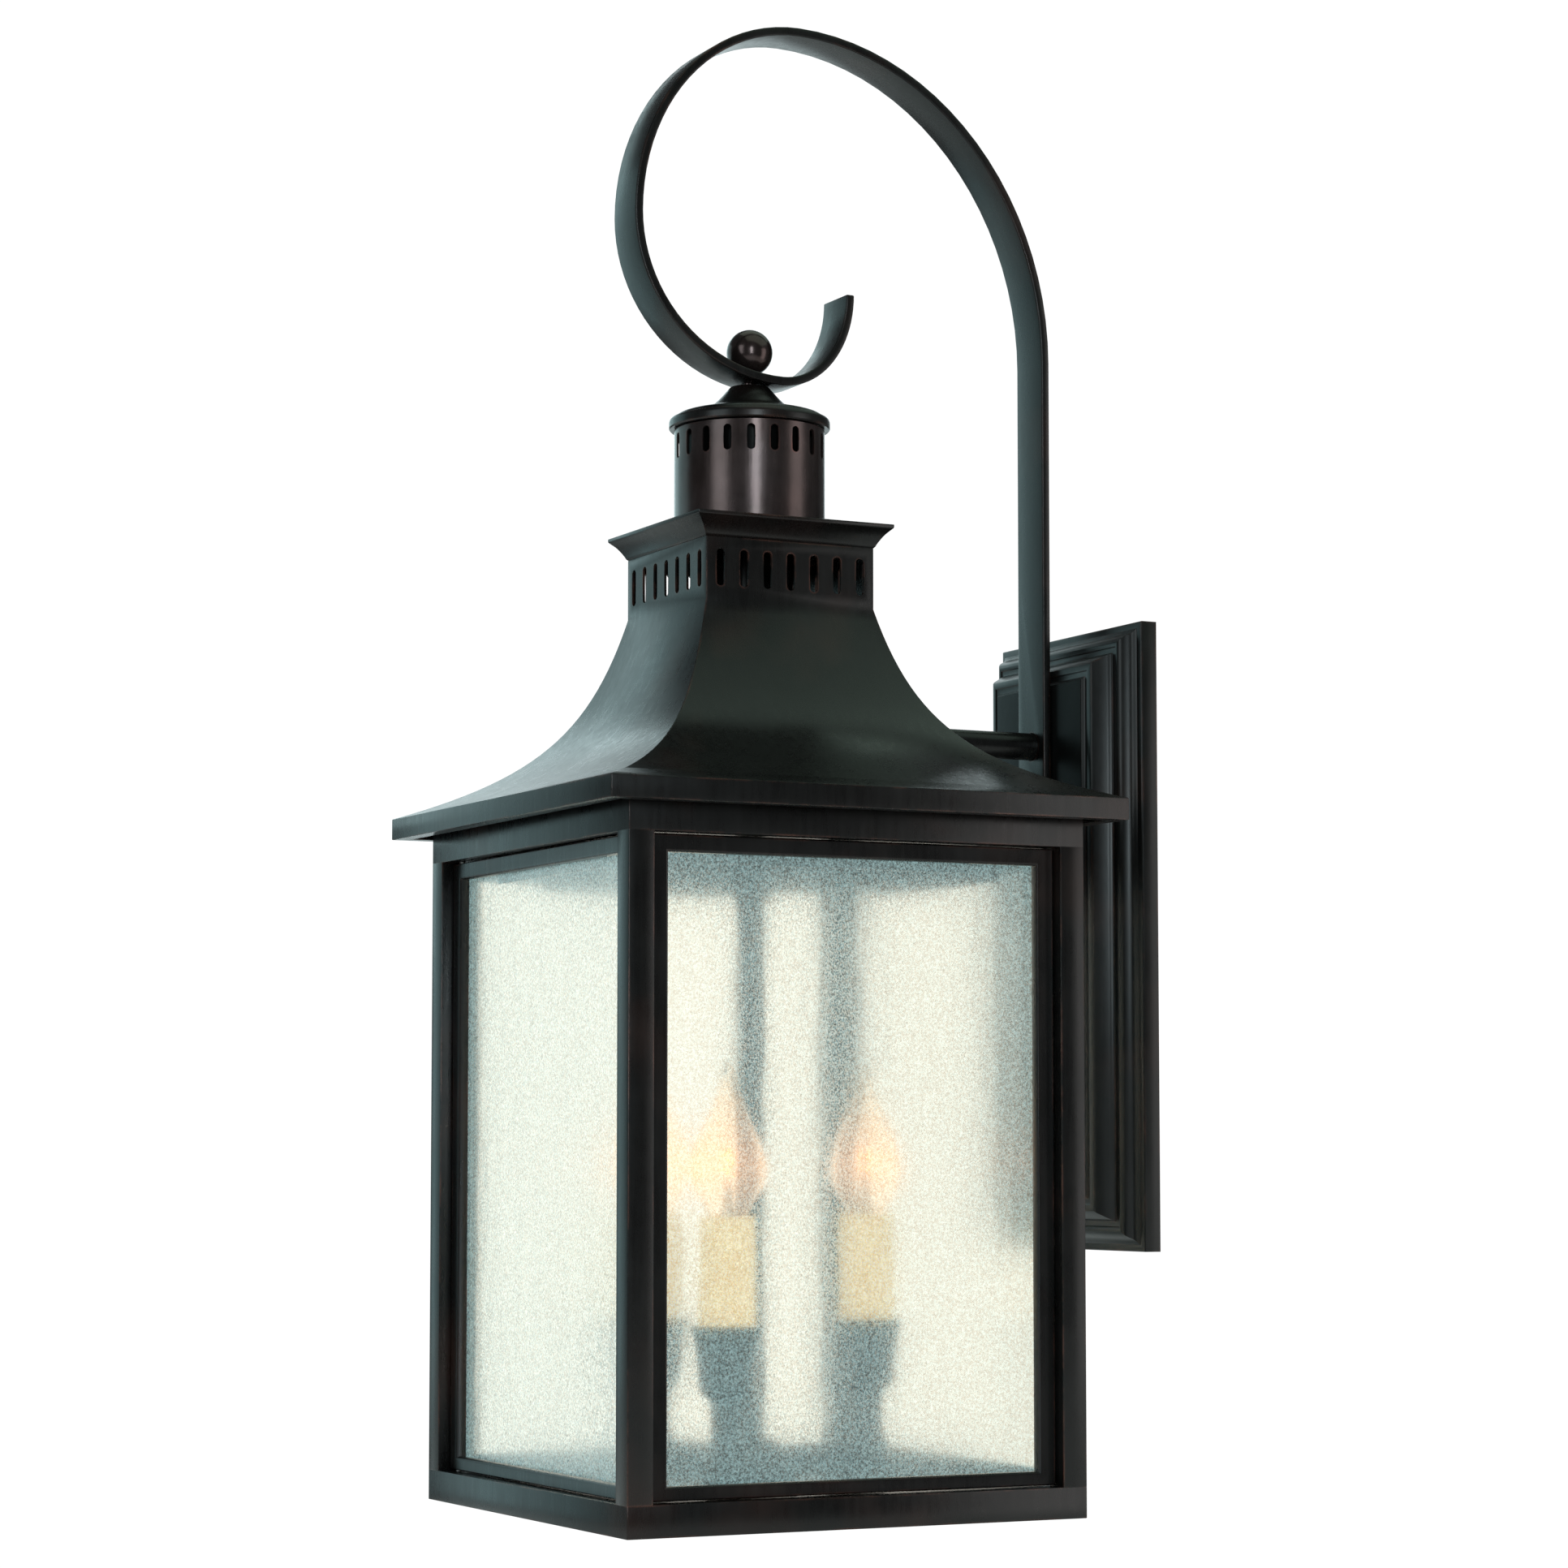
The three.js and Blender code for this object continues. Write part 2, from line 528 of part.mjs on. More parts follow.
function finialBall() {
  const rise = Math.asin((BALL_FOOT_Z - BALL_Z) / BALL_R);
  const steps = 11;
  const round = [];
  for (let i = 0; i <= steps; i++) {
    const turn = Math.PI / 2 + ((rise - Math.PI / 2) * i) / steps;
    round.push([i ? BALL_R * Math.cos(turn) : 0, BALL_Z + BALL_R * Math.sin(turn)]);
  }
  const stud = [[STUD_R, BALL_FOOT_Z], [STUD_R, STEM_TOP - 10], [0, STEM_TOP - 10]];
  return turned([...round, ...stud], 24);
}

function roof() {
  add(lantern, "roof_shell", roofShell(), bronze);
  add(lantern, "roof_collar", roofCollar(), bronze);
  add(lantern, "chimney", chimney(), bronze);
  add(lantern, "chimney_cap", chimneyCap(), bronze);
  add(lantern, "finial_ball", finialBall(), bronze);
}

// ---- lamp cluster: stem, hub with three arms, cups, sleeves, sockets and bulbs ----
function stemTube() {
  const plug = STUD_R + THREAD_GAP;
  const profile = [
    [STEM_R, STEM_LOW], [STEM_R, STEM_TOP], [plug, STEM_TOP], [plug, STEM_TOP - STEM_PLUG],
    [STEM_BORE_R, STEM_TOP - STEM_PLUG], [STEM_BORE_R, STEM_LOW],
  ];
  return turned(profile, 24).subtract(box(-4, 4, 0, 10, LEAD_SLOT[0], LEAD_SLOT[1]));
}

function roofBridge() {
  const reach = CAGE_HALF - 1;
  const bar = box(-reach, reach, -BRIDGE.wide / 2, BRIDGE.wide / 2, BRIDGE_Z, BRIDGE_Z + BRIDGE.thick);
  return bar.subtract(post(STEM_R + GAP, BRIDGE_Z - 1, BRIDGE_Z + BRIDGE.thick + 1));
}

function candlePlaces() {
  return Array.from({ length: CANDLES }, (_, i) => {
    const turn = THREE.MathUtils.degToRad(CANDLE_TURN + (360 * i) / CANDLES);
    return { turn, x: CANDLE_RADIUS * Math.cos(turn), y: CANDLE_RADIUS * Math.sin(turn) };
  });
}

function clusterBody() {
  const low = LEDGE_Z + SHEET + 2 * GAP;
  let body = turned([[0, low], [HUB_R, low], [HUB_R, ARM_TOP_Z - 6], [HUB_R - 4, ARM_TOP_Z - 1],
    [10, ARM_TOP_Z + 3], [0, ARM_TOP_Z + 3]], 28);
  for (const { turn, x, y } of candlePlaces()) {
    const bar = box(0, CANDLE_RADIUS, -7, 7, ARM_TOP_Z - 10, ARM_TOP_Z);
    body = body.add(bar.rotate([0, 0, THREE.MathUtils.radToDeg(turn)]));
    body = body.add(post(9.5, ARM_TOP_Z - 12, ARM_TOP_Z + 1.5, x, y, 20));
    body = body.add(post(7.4, ARM_TOP_Z, CUP_LOW - GAP, x, y, 20));
  }
  return body.subtract(post(STEM_R + GAP, low - 1, ARM_TOP_Z + 5));
}

function candleCup() {
  return turned([
    [4, CUP_LOW], [7.5, CUP_LOW], [8.4, -210.4], [11.6, -208], [12.9, -204.4], [14, -187], [16, -181],
    [16.2, -178], [14.9, -178], [13.3, -184], [13.1, SLEEVE_LOW - GAP], [4, SLEEVE_LOW - GAP],
  ], 20);
}

function candleSleeve() {
  const bore = SLEEVE_R - 1;
  return turned([[SLEEVE_R, SLEEVE_LOW], [SLEEVE_R, SLEEVE_TOP], [bore, SLEEVE_TOP], [bore, SLEEVE_LOW]], 20);
}

function lampSocket() {
  const bore = 6.3;
  const floor = SOCKET_TOP - 26;
  const shell = [[0, SLEEVE_LOW], [9.8, SLEEVE_LOW], [9.8, SOCKET_TOP], [bore, SOCKET_TOP]];
  return turned([...shell, [bore, floor], [0, floor]], 18);
}

function bulbBase() {
  const low = SOCKET_TOP - 25.6;
  return turned([[0, low], [2.6, low], [5.9, low + 3.4], [5.9, SOCKET_TOP], [0, SOCKET_TOP]], 16);
}

// A flame-tip envelope: a shell open at the neck.
function bulbEnvelope() {
  const neck = SOCKET_TOP + GAP;
  const outline = new THREE.SplineCurve([
    [6.4, neck], [9.8, -127], [BULB_R, -111], [12.2, -92], [5, -73], [1.2, BULB_TOP],
  ].map(([r, z]) => new THREE.Vector2(r, z)));
  const outside = outline.getPoints(8).map(({ x, y }) => [x, y]);
  const wall = 1;
  const inside = outside.slice(0, -2).reverse().map(([r, z]) => [r - wall, z]);
  return turned([[0, -77.5], ...inside, ...outside, [0, BULB_TOP + 0.4]], 14);
}

// The leads run through the arm, cross the roof and turn down inside the stem.
function supplyLead() {
  const route = new THREE.CatmullRomCurve3([
    [0, REACH - 8, ARM_Z], [0, REACH - 60, ARM_Z], [0, 62, ARM_Z], [0, 34, ARM_Z - 1], [0, 13, ARM_Z - 9],
    [0, 3, ARM_Z - 26], [0, 0, ARM_Z - 46], [0, 0, 0], [0, 0, -120], [0, 0, -228],
  ].map((at) => new THREE.Vector3(...at)), false, "centripetal");
  const sides = Array.from({ length: 8 }, (_, i) => {
    const turn = (i * Math.PI) / 4;
    return new THREE.Vector2(LEAD_R * Math.cos(turn), LEAD_R * Math.sin(turn));
  });
  const options = { steps: 30, extrudePath: route, bevelEnabled: false };
  return solid(new THREE.ExtrudeGeometry(new THREE.Shape(sides), options));
}

function lampCluster() {
  add(lantern, "stem_tube", stemTube(), bronze);
  add(lantern, "roof_bridge", roofBridge(), zinc);
  add(lantern, "cluster_body", clusterBody(), bronze);
  const nutLow = LEDGE_Z + GAP - 3.8;
  add(lantern, "stem_nut", hexNut(19, 3.5, STEM_R + GAP), zinc).position.z = nutLow;
  add(lantern, "supply_lead", supplyLead(), leadCover);
  candlePlaces().forEach(({ x, y }, i) => {
    const candle = new THREE.Group();
    candle.position.set(x, y, 0);
    lantern.add(candle);
    add(candle, `candle_cup_${i + 1}`, candleCup(), bronze);
    add(candle, `candle_sleeve_${i + 1}`, candleSleeve(), candleCream);
    add(candle, `lamp_socket_${i + 1}`, lampSocket(), phenolic);
    add(candle, `bulb_base_${i + 1}`, bulbBase(), brass);
    add(candle, `bulb_envelope_${i + 1}`, bulbEnvelope(), bulbGlass);
  });
}

wallSide();
cage();
panes();
roof();
lampCluster();

export default part;
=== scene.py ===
"""Outdoor wall lantern: the finished pieces, their materials, the studio and the camera."""
from math import atan2, cos, pi, radians, sin, sqrt

import bpy
from mathutils import Matrix, Vector


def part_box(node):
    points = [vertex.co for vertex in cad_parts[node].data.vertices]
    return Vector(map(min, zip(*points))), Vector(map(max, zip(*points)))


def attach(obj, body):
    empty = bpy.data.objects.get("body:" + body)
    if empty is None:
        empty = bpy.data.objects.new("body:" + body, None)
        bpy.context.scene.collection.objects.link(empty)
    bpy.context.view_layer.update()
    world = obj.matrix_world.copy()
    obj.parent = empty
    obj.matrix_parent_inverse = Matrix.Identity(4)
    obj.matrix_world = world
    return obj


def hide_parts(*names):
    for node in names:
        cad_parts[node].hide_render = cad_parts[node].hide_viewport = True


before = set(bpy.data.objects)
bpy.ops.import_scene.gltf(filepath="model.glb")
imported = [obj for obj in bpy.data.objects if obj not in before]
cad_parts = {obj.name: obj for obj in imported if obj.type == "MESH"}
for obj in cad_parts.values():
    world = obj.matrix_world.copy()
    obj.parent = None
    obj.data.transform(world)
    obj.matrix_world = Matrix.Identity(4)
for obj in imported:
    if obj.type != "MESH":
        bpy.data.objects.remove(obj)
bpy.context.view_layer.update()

MM = 0.001
LANTERN = "lantern"
DOOR = "door"
BRONZE = "aged_bronze"
VISUAL = "_visual"


# ---- places and sizes, from the frame ----
def middle(node):
    low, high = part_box(node)
    return (low + high) / 2


AXIS = Vector((middle("stem_tube").x, middle("stem_tube").y, 0))
SHEET = 1.2 * MM
TOUCH = 0.3 * MM
WIREWAY_HOLE = 6.8 * MM
STUD_HOLE = 2.3 * MM

RAIL_LOW, RAIL_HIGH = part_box("bottom_frame")
HEAD_LOW, HEAD_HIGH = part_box("top_frame")
POST_LOW, POST_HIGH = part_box("post_front_left")
BAR = POST_HIGH.x - POST_LOW.x
CAGE_HALF = RAIL_HIGH.x
CORNER = CAGE_HALF - BAR / 2
TUBE_WALL = 1.5 * MM

DOOR_LOW, DOOR_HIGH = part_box("door_frame")
PANE_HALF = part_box("pane_frame_rear")[1].x
GLASS_LOW, GLASS_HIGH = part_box("glass_door")
STILE = 8.5 * MM
TOP_RAIL = 7.6 * MM
LOW_RAIL = 6 * MM
REBATE = 4 * MM

ROOF_LOW, ROOF_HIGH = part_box("roof_shell")
FASCIA = 9.8 * MM
NECK_HALF = 42.6 * MM
COLLAR_LOW, COLLAR_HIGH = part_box("roof_collar")
CHIMNEY_LOW, CHIMNEY_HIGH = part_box("chimney")
CAP_LOW, CAP_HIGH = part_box("chimney_cap")
BALL_LOW, BALL_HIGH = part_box("finial_ball")
ARM_LOW, ARM_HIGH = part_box("support_arm")
STRIP_LOW, STRIP_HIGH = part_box("scroll_strip")
PLATE_LOW, PLATE_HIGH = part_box("backplate")


# ---- modelling steps ----
def clear():
    if bpy.context.mode != "OBJECT":
        bpy.ops.object.mode_set(mode="OBJECT")
    bpy.ops.object.select_all(action="DESELECT")


def activate(piece):
    clear()
    bpy.context.view_layer.objects.active = piece
    piece.select_set(True)


def settle():
    bpy.ops.object.transform_apply(location=True, rotation=True, scale=True)


def begin(name):
    """Names the new primitive and opens it for editing, with its placement in its mesh."""
    piece = bpy.context.object
    piece.name = name + VISUAL
    settle()
    enter()
    return piece


def enter():
    bpy.ops.object.mode_set(mode="EDIT")
    bpy.ops.mesh.select_mode(type="VERT")


def leave():
    bpy.ops.object.mode_set(mode="OBJECT")


def pick(piece, test, kind="FACE"):
    """Selects the faces or vertices whose place and normal pass the test."""
    bpy.ops.mesh.select_mode(type=kind)
    bpy.ops.mesh.select_all(action="DESELECT")
    leave()
    if kind == "FACE":
        for face in piece.data.polygons:
            face.select = test(face.center, face.normal)
    else:
        for vertex in piece.data.vertices:
            vertex.select = test(vertex.co, vertex.normal)
    bpy.ops.object.mode_set(mode="EDIT")


def move(shift):
    bpy.ops.transform.translate(value=shift)


def scale(factors, centre):
    bpy.ops.transform.resize(value=factors, center_override=centre)


def extrude(shift):
    bpy.ops.mesh.extrude_region_move(TRANSFORM_OT_translate={"value": shift})


def modify(piece, kind, **settings):
    """Adds a modifier and applies it."""
    activate(piece)
    modifier = piece.modifiers.new(kind.lower(), kind)
    for key, value in settings.items():
        setattr(modifier, key, value)
    bpy.ops.object.modifier_apply(modifier=modifier.name)
    return piece


def soften(piece, width, segments=2, angle=40):
    """Rounds every edge sharper than the angle."""
    return modify(
        piece, "BEVEL", width=width, segments=segments, limit_method="ANGLE", angle_limit=radians(angle)
    )


def outward(piece):
    activate(piece)
    enter()
    bpy.ops.mesh.select_all(action="SELECT")
    bpy.ops.mesh.remove_doubles(threshold=1e-6)
    bpy.ops.mesh.normals_make_consistent(inside=False)
    leave()
    return piece


def loft(name, loops, sides=4, upright=False, start="open", end="closed"):
    """Draws a ring through loops of (centre, half size, half size). Upright loops stand in XZ."""
    clear()
    fill = "NGON" if start == "capped" else "NOTHING"
    bpy.ops.mesh.primitive_circle_add(vertices=sides, radius=sqrt(2) if sides == 4 else 1, fill_type=fill)
    piece = bpy.context.object
    if sides == 4:
        piece.rotation_euler = (0, 0, radians(45))
        settle()
    if upright:
        piece.rotation_euler = (radians(90), 0, 0)
    begin(name)
    bpy.ops.mesh.select_all(action="SELECT")

    def stretch(ratio_a, ratio_b, centre):
        scale((ratio_a, 1, ratio_b) if upright else (ratio_a, ratio_b, 1), centre)

    centre, half_a, half_b = loops[0]
    stretch(half_a, half_b, (0, 0, 0))
    move(centre)
    for after, next_a, next_b in loops[1:]:
        extrude(Vector(after) - Vector(centre))
        if next_a == 0:
            bpy.ops.mesh.merge(type="CENTER")
            break
        stretch(next_a / half_a, next_b / half_b, after)
        centre, half_a, half_b = after, next_a, next_b
    leave()
    if end == "closed" and start == "open":
        bridge(piece, sides)
    return outward(piece)


def bridge(piece, sides):
    """Joins the first ring of a piece to its last."""
    enter()
    bpy.ops.mesh.select_all(action="DESELECT")
    leave()
    vertices = piece.data.vertices
    for i in range(sides):
        vertices[i].select = True
        vertices[len(vertices) - 1 - i].select = True
    bpy.ops.object.mode_set(mode="EDIT")
    bpy.ops.mesh.bridge_edge_loops()
    leave()


def turned(name, profile, x=AXIS.x, y=AXIS.y, sides=64, start="open"):
    """A piece turned about an upright line from (radius, height) points."""
    return loft(name, [((x, y, z), r, r) for r, z in profile], sides, start=start)


def bored(name, profile, x, z, sides=32, start="capped"):
    """A piece turned about a line along Y from (radius, y) points."""
    return loft(name, [((x, y, z), r, r) for r, y in profile], sides, upright=True, start=start)


def squared(name, profile):
    """A piece with a square plan about the lantern's axis, from (half side, height) points."""
    return loft(name, [((AXIS.x, AXIS.y, z), half, half) for half, z in profile])


def block(name, low, high):
    """A block between two corners, left open for editing."""
    clear()
    bpy.ops.mesh.primitive_cube_add(size=1, location=(Vector(low) + Vector(high)) / 2)
    bpy.context.object.scale = Vector(high) - Vector(low)
    return begin(name)


def cut(piece, *cutters, operation="DIFFERENCE"):
    for cutter in cutters:
        modify(piece, "BOOLEAN", object=cutter, operation=operation, solver="EXACT")
        bpy.data.objects.remove(cutter)
    return outward(piece)


def drill(radius, low, high, x, y, sides=32):
    """An upright round cutter."""
    return turned("drill", [(radius, low), (radius, high)], x, y, sides, start="capped")


def bore(radius, near, far, x, z, sides=32):
    """A round cutter along Y."""
    return bored("bore", [(radius, near), (radius, far)], x, z, sides)


def slot_cutter(wide, tall, length, place, turn):
    """A round-ended cutter that runs level through a place, turned about the upright."""
    clear()
    bpy.ops.mesh.primitive_cylinder_add(vertices=16, radius=wide / 2, depth=length, rotation=(0, pi / 2, 0))
    cutter = begin("slot")
    for side in (-1, 1):
        pick(cutter, lambda at, _: at.z * side > wide * 0.01, "VERT")
        move((0, 0, side * (tall - wide) / 2))
    leave()
    cutter.rotation_euler.z = turn
    cutter.location = place
    activate(cutter)
    settle()
    return cutter


def twin(piece, name, shift=(0, 0, 0), turn=0):
    """A copy with its own mesh, shifted, or turned about the lantern's axis."""
    copy = piece.copy()
    copy.data = piece.data.copy()
    copy.name = name + VISUAL
    bpy.context.collection.objects.link(copy)
    about = Matrix.Translation(AXIS) @ Matrix.Rotation(turn, 4, "Z") @ Matrix.Translation(-AXIS)
    copy.matrix_world = Matrix.Translation(shift) @ about
    activate(copy)
    settle()
    return copy


def arc(centre, radii, start, stop, steps):
    """Points (a, b) round part of an ellipse, between two angles in degrees."""
    turns = [radians(start + (stop - start) * i / steps) for i in range(steps + 1)]
    return [(centre[0] + radii[0] * cos(t), centre[1] + radii[1] * sin(t)) for t in turns]


def flowing(points, steps=4):
    """More points along a smooth line through these."""
    out = []
    for i in range(len(points) - 1):
        a, b, c, d = (Vector(points[min(max(i + k, 0), len(points) - 1)]) for k in (-1, 0, 1, 2))
        for step in range(steps):
            t = step / steps
            out.append(tuple(
                b + (c - a) * t / 2 + (a * 2 - b * 5 + c * 4 - d) * t * t / 2
                + (b * 3 - a - c * 3 + d) * t ** 3 / 2
            ))
    return out + [tuple(points[-1])]


def mm(points):
    return [tuple(value * MM for value in point) for point in points]


def past(level, points):
    """Outline points from (radius, distance past the level), both in millimetres."""
    return [(r * MM, level + far * MM) for r, far in points]


def rod(r, low, high, tip):
    """The outline of a round bar with chamfered ends."""
    return [(r - tip, low), (r, low + tip), (r, high - tip), (r - tip, high)]


def thread(crest, root, start, pitch, turns):
    """The outline of a thread, from its first crest."""
    points = []
    for i in range(turns):
        points += [(crest, start + i * pitch), (root, start + (i + 0.5) * pitch)]
    return points


def sheet(name, wide, tall, place=(0, 0, 0)):
    """An upright flat face across Y, left open for editing."""
    clear()
    bpy.ops.mesh.primitive_plane_add(size=1, location=place)
    piece = bpy.context.object
    piece.scale = (wide, tall, 1)
    piece.rotation_euler = (pi / 2, 0, 0)
    return begin(name)


def wire(name, points, radius, sides=8):
    """A round wire through points."""
    clear()
    curve = bpy.data.curves.new(name + VISUAL, "CURVE")
    curve.dimensions = "3D"
    curve.bevel_depth = radius
    curve.bevel_resolution = sides // 4
    curve.use_fill_caps = True
    spline = curve.splines.new("POLY")
    spline.points.add(len(points) - 1)
    for point, place in zip(spline.points, points):
        point.co = (*place, 1)
    piece = bpy.data.objects.new(name + VISUAL, curve)
    bpy.context.collection.objects.link(piece)
    activate(piece)
    bpy.ops.object.convert(target="MESH")
    return outward(bpy.context.object)


# ---- materials ----
class Finish:
    """A material with one Principled shader, and short ways to add and join its nodes."""

    def __init__(self, name):
        self.material = bpy.data.materials.new(name)
        self.material.use_nodes = True
        self.nodes = self.material.node_tree.nodes
        self.shader = self.nodes["Principled BSDF"]
        self.place = self.node("ShaderNodeTexCoord").outputs["Object"]

    def node(self, kind, **settings):
        made = self.nodes.new(kind)
        for key, value in settings.items():
            setattr(made, key, value)
        return made

    def link(self, source, socket):
        self.material.node_tree.links.new(source, socket)

    def feed(self, socket, value):
        """Joins a socket to another node's output, or sets its value."""
        if hasattr(value, "links"):
            self.link(value, socket)
        elif socket.type == "RGBA":
            socket.default_value = (*value, 1)
        elif value is not None:
            socket.default_value = value

    def set(self, **values):
        for key, value in values.items():
            self.shader.inputs[key.replace("_", " ")].default_value = value

    def noise(self, size, detail=4, stretch=(1, 1, 1), rough=0.5):
        """Noise whose features are about this size, stretched along the axes. Gives 0 to 1."""
        mapping = self.node("ShaderNodeMapping")
        mapping.inputs["Scale"].default_value = [1 / s for s in stretch]
        self.link(self.place, mapping.inputs["Vector"])
        noise = self.node("ShaderNodeTexNoise")
        noise.inputs["Scale"].default_value = 1 / size
        noise.inputs["Detail"].default_value = detail
        noise.inputs["Roughness"].default_value = rough
        self.link(mapping.outputs["Vector"], noise.inputs["Vector"])
        return noise.outputs["Fac"]

    def spots(self, size, feature="F1"):
        voronoi = self.node("ShaderNodeTexVoronoi", feature=feature)
        voronoi.inputs["Scale"].default_value = 1 / size
        self.link(self.place, voronoi.inputs["Vector"])
        return voronoi

    def ramp(self, source, *stops):
        """Colours or greys by (place, value) stops."""
        ramp = self.node("ShaderNodeValToRGB")
        elements = ramp.color_ramp.elements
        while len(elements) < len(stops):
            elements.new(0.5)
        for element, (at, value) in zip(elements, stops):
            element.position = at
            element.color = (*value, 1) if hasattr(value, "__len__") else (value, value, value, 1)
        self.link(source, ramp.inputs["Fac"])
        return ramp.outputs["Color"]

    def math(self, operation, first, second=None):
        made = self.node("ShaderNodeMath", operation=operation)
        self.feed(made.inputs[0], first)
        self.feed(made.inputs[1], second)
        return made.outputs["Value"]

    def vector(self, operation, first, second=None, give="Vector"):
        made = self.node("ShaderNodeVectorMath", operation=operation)
        self.feed(made.inputs[0], first)
        self.feed(made.inputs[1], second)
        return made.outputs[give]

    def spread(self, source, start, stop, to=(0, 1)):
        """Carries the values from start to stop over to another range."""
        made = self.node("ShaderNodeMapRange")
        sockets = ("Value", "From Min", "From Max", "To Min", "To Max")
        for key, value in zip(sockets, (source, start, stop, *to)):
            self.feed(made.inputs[key], value)
        return made.outputs["Result"]

    def mix(self, share, first, second):
        made = self.node("ShaderNodeMix", data_type="RGBA")
        for index, value in ((0, share), (6, first), (7, second)):
            self.feed(made.inputs[index], value)
        return made.outputs[2]

    def separate(self, colour):
        parts = self.node("ShaderNodeSeparateColor")
        self.link(colour, parts.inputs["Color"])
        return parts.outputs["Red"]

    def along(self, letter):
        """The place along X, Y or Z."""
        parts = self.node("ShaderNodeSeparateXYZ")
        self.link(self.place, parts.inputs["Vector"])
        return parts.outputs[letter]

    def bump(self, height, strength, distance, under=None):
        made = self.node("ShaderNodeBump")
        made.inputs["Strength"].default_value = strength
        made.inputs["Distance"].default_value = distance
        self.link(height, made.inputs["Height"])
        if under:
            self.link(under, made.inputs["Normal"])
        return made.outputs["Normal"]

    def worn_edges(self, radius):
        """1 where the surface turns sharply within the radius, 0 on the flat."""
        rounded = self.node("ShaderNodeBevel", samples=4)
        rounded.inputs["Radius"].default_value = radius
        flat = self.node("ShaderNodeNewGeometry").outputs["Normal"]
        likeness = self.vector("DOT_PRODUCT", rounded.outputs["Normal"], flat, "Value")
        return self.math("SUBTRACT", 1.0, likeness)

    def from_axis(self):
        """The level way out from the lantern's axis, with its length in metres."""
        return self.vector("MULTIPLY", self.vector("SUBTRACT", self.place, AXIS), (1, 1, 0))

    def outer_face(self):
        """1 on a face that looks out of the lantern, 0 on one that looks in or is met from behind."""
        geometry = self.node("ShaderNodeNewGeometry")
        facing = self.vector("DOT_PRODUCT", self.from_axis(), geometry.outputs["True Normal"], "Value")
        front = self.math("SUBTRACT", 1.0, geometry.outputs["Backfacing"])
        return self.math("MULTIPLY", self.math("GREATER_THAN", facing, 0.0), front)

    def within(self, radius):
        """1 nearer the lantern's axis than the radius, 0 beyond it."""
        return self.math("LESS_THAN", self.vector("LENGTH", self.from_axis(), give="Value"), radius)

    def moulding_mask(self, half_x, half_z):
        """Gloss of the raised moulding round a dull flat centre."""
        beyond = [
            self.math("GREATER_THAN", self.math("ABSOLUTE", self.along(letter)), half)
            for letter, half in (("X", half_x), ("Z", half_z))
        ]
        return self.ramp(self.math("MAXIMUM", *beyond), (0.0, 0.05), (1.0, 0.5))

    def glow(self, colour, strength):
        """Light of the surface's own. The colour and the strength are values or outputs."""
        self.feed(self.shader.inputs["Emission Color"], colour)
        self.feed(self.shader.inputs["Emission Strength"], strength)

    def colour(self, source):
        self.link(source, self.shader.inputs["Base Color"])

    def roughness(self, source):
        self.link(source, self.shader.inputs["Roughness"])

    def normal(self, source):
        self.link(source, self.shader.inputs["Normal"])


def bronze_finish(name, dark, light, rub, gloss=(0.22, 0.36), metal=0.25, flat_centre=None, painted_shade_radius=None):
    """Near-black bronze: mottled, wiped in upright strokes, and rubbed through to brown on its edges."""
    f = Finish(name)
    f.set(Metallic=metal, Specular_IOR_Level=0.5)
    if flat_centre:
        f.link(f.moulding_mask(*flat_centre), f.shader.inputs["Specular IOR Level"])
    mottle = f.noise(38 * MM, detail=6, rough=0.62)
    strokes = f.noise(3.2 * MM, detail=5, stretch=(1, 1, 14), rough=0.6)
    base = f.mix(f.ramp(mottle, (0.35, 0.0), (0.68, 1.0)), dark, light)
    base = f.mix(f.math("MULTIPLY", f.ramp(strokes, (0.45, 0.0), (0.75, 1.0)), 0.4), base, light)
    patch = f.ramp(f.noise(26 * MM, detail=5, rough=0.7), (0.46, 0.0), (0.66, 1.0))
    edge = f.ramp(f.worn_edges(1.6 * MM), (0.015, 0.0), (0.16, 1.0))
    rubbed = f.math("MULTIPLY", f.math("MULTIPLY", edge, patch), 0.85)
    blush = f.math("MULTIPLY", f.ramp(f.noise(70 * MM, detail=3), (0.54, 0.0), (0.76, 1.0)), 0.12)
    finish = f.mix(f.math("MAXIMUM", rubbed, blush), base, rub)
    # Painted shade: nearer the axis than the radius the bronze is painted near black, with no metal and
    # little shine, standing in for the shade inside the flue.
    if painted_shade_radius:
        inside = f.within(painted_shade_radius)
        finish = f.mix(inside, finish, (0.004, 0.004, 0.004))
        f.link(f.ramp(inside, (0.0, metal), (1.0, 0.0)), f.shader.inputs["Metallic"])
        f.link(f.ramp(inside, (0.0, 0.5), (1.0, 0.05)), f.shader.inputs["Specular IOR Level"])
    f.colour(finish)
    grain = f.noise(0.7 * MM, detail=3)
    f.roughness(f.spread(f.mix(0.5, mottle, strokes), 0.3, 0.7, gloss))
    f.normal(f.bump(grain, 0.14, 0.04 * MM, f.bump(f.noise(9 * MM, detail=3), 0.25, 0.25 * MM)))
    return f.material


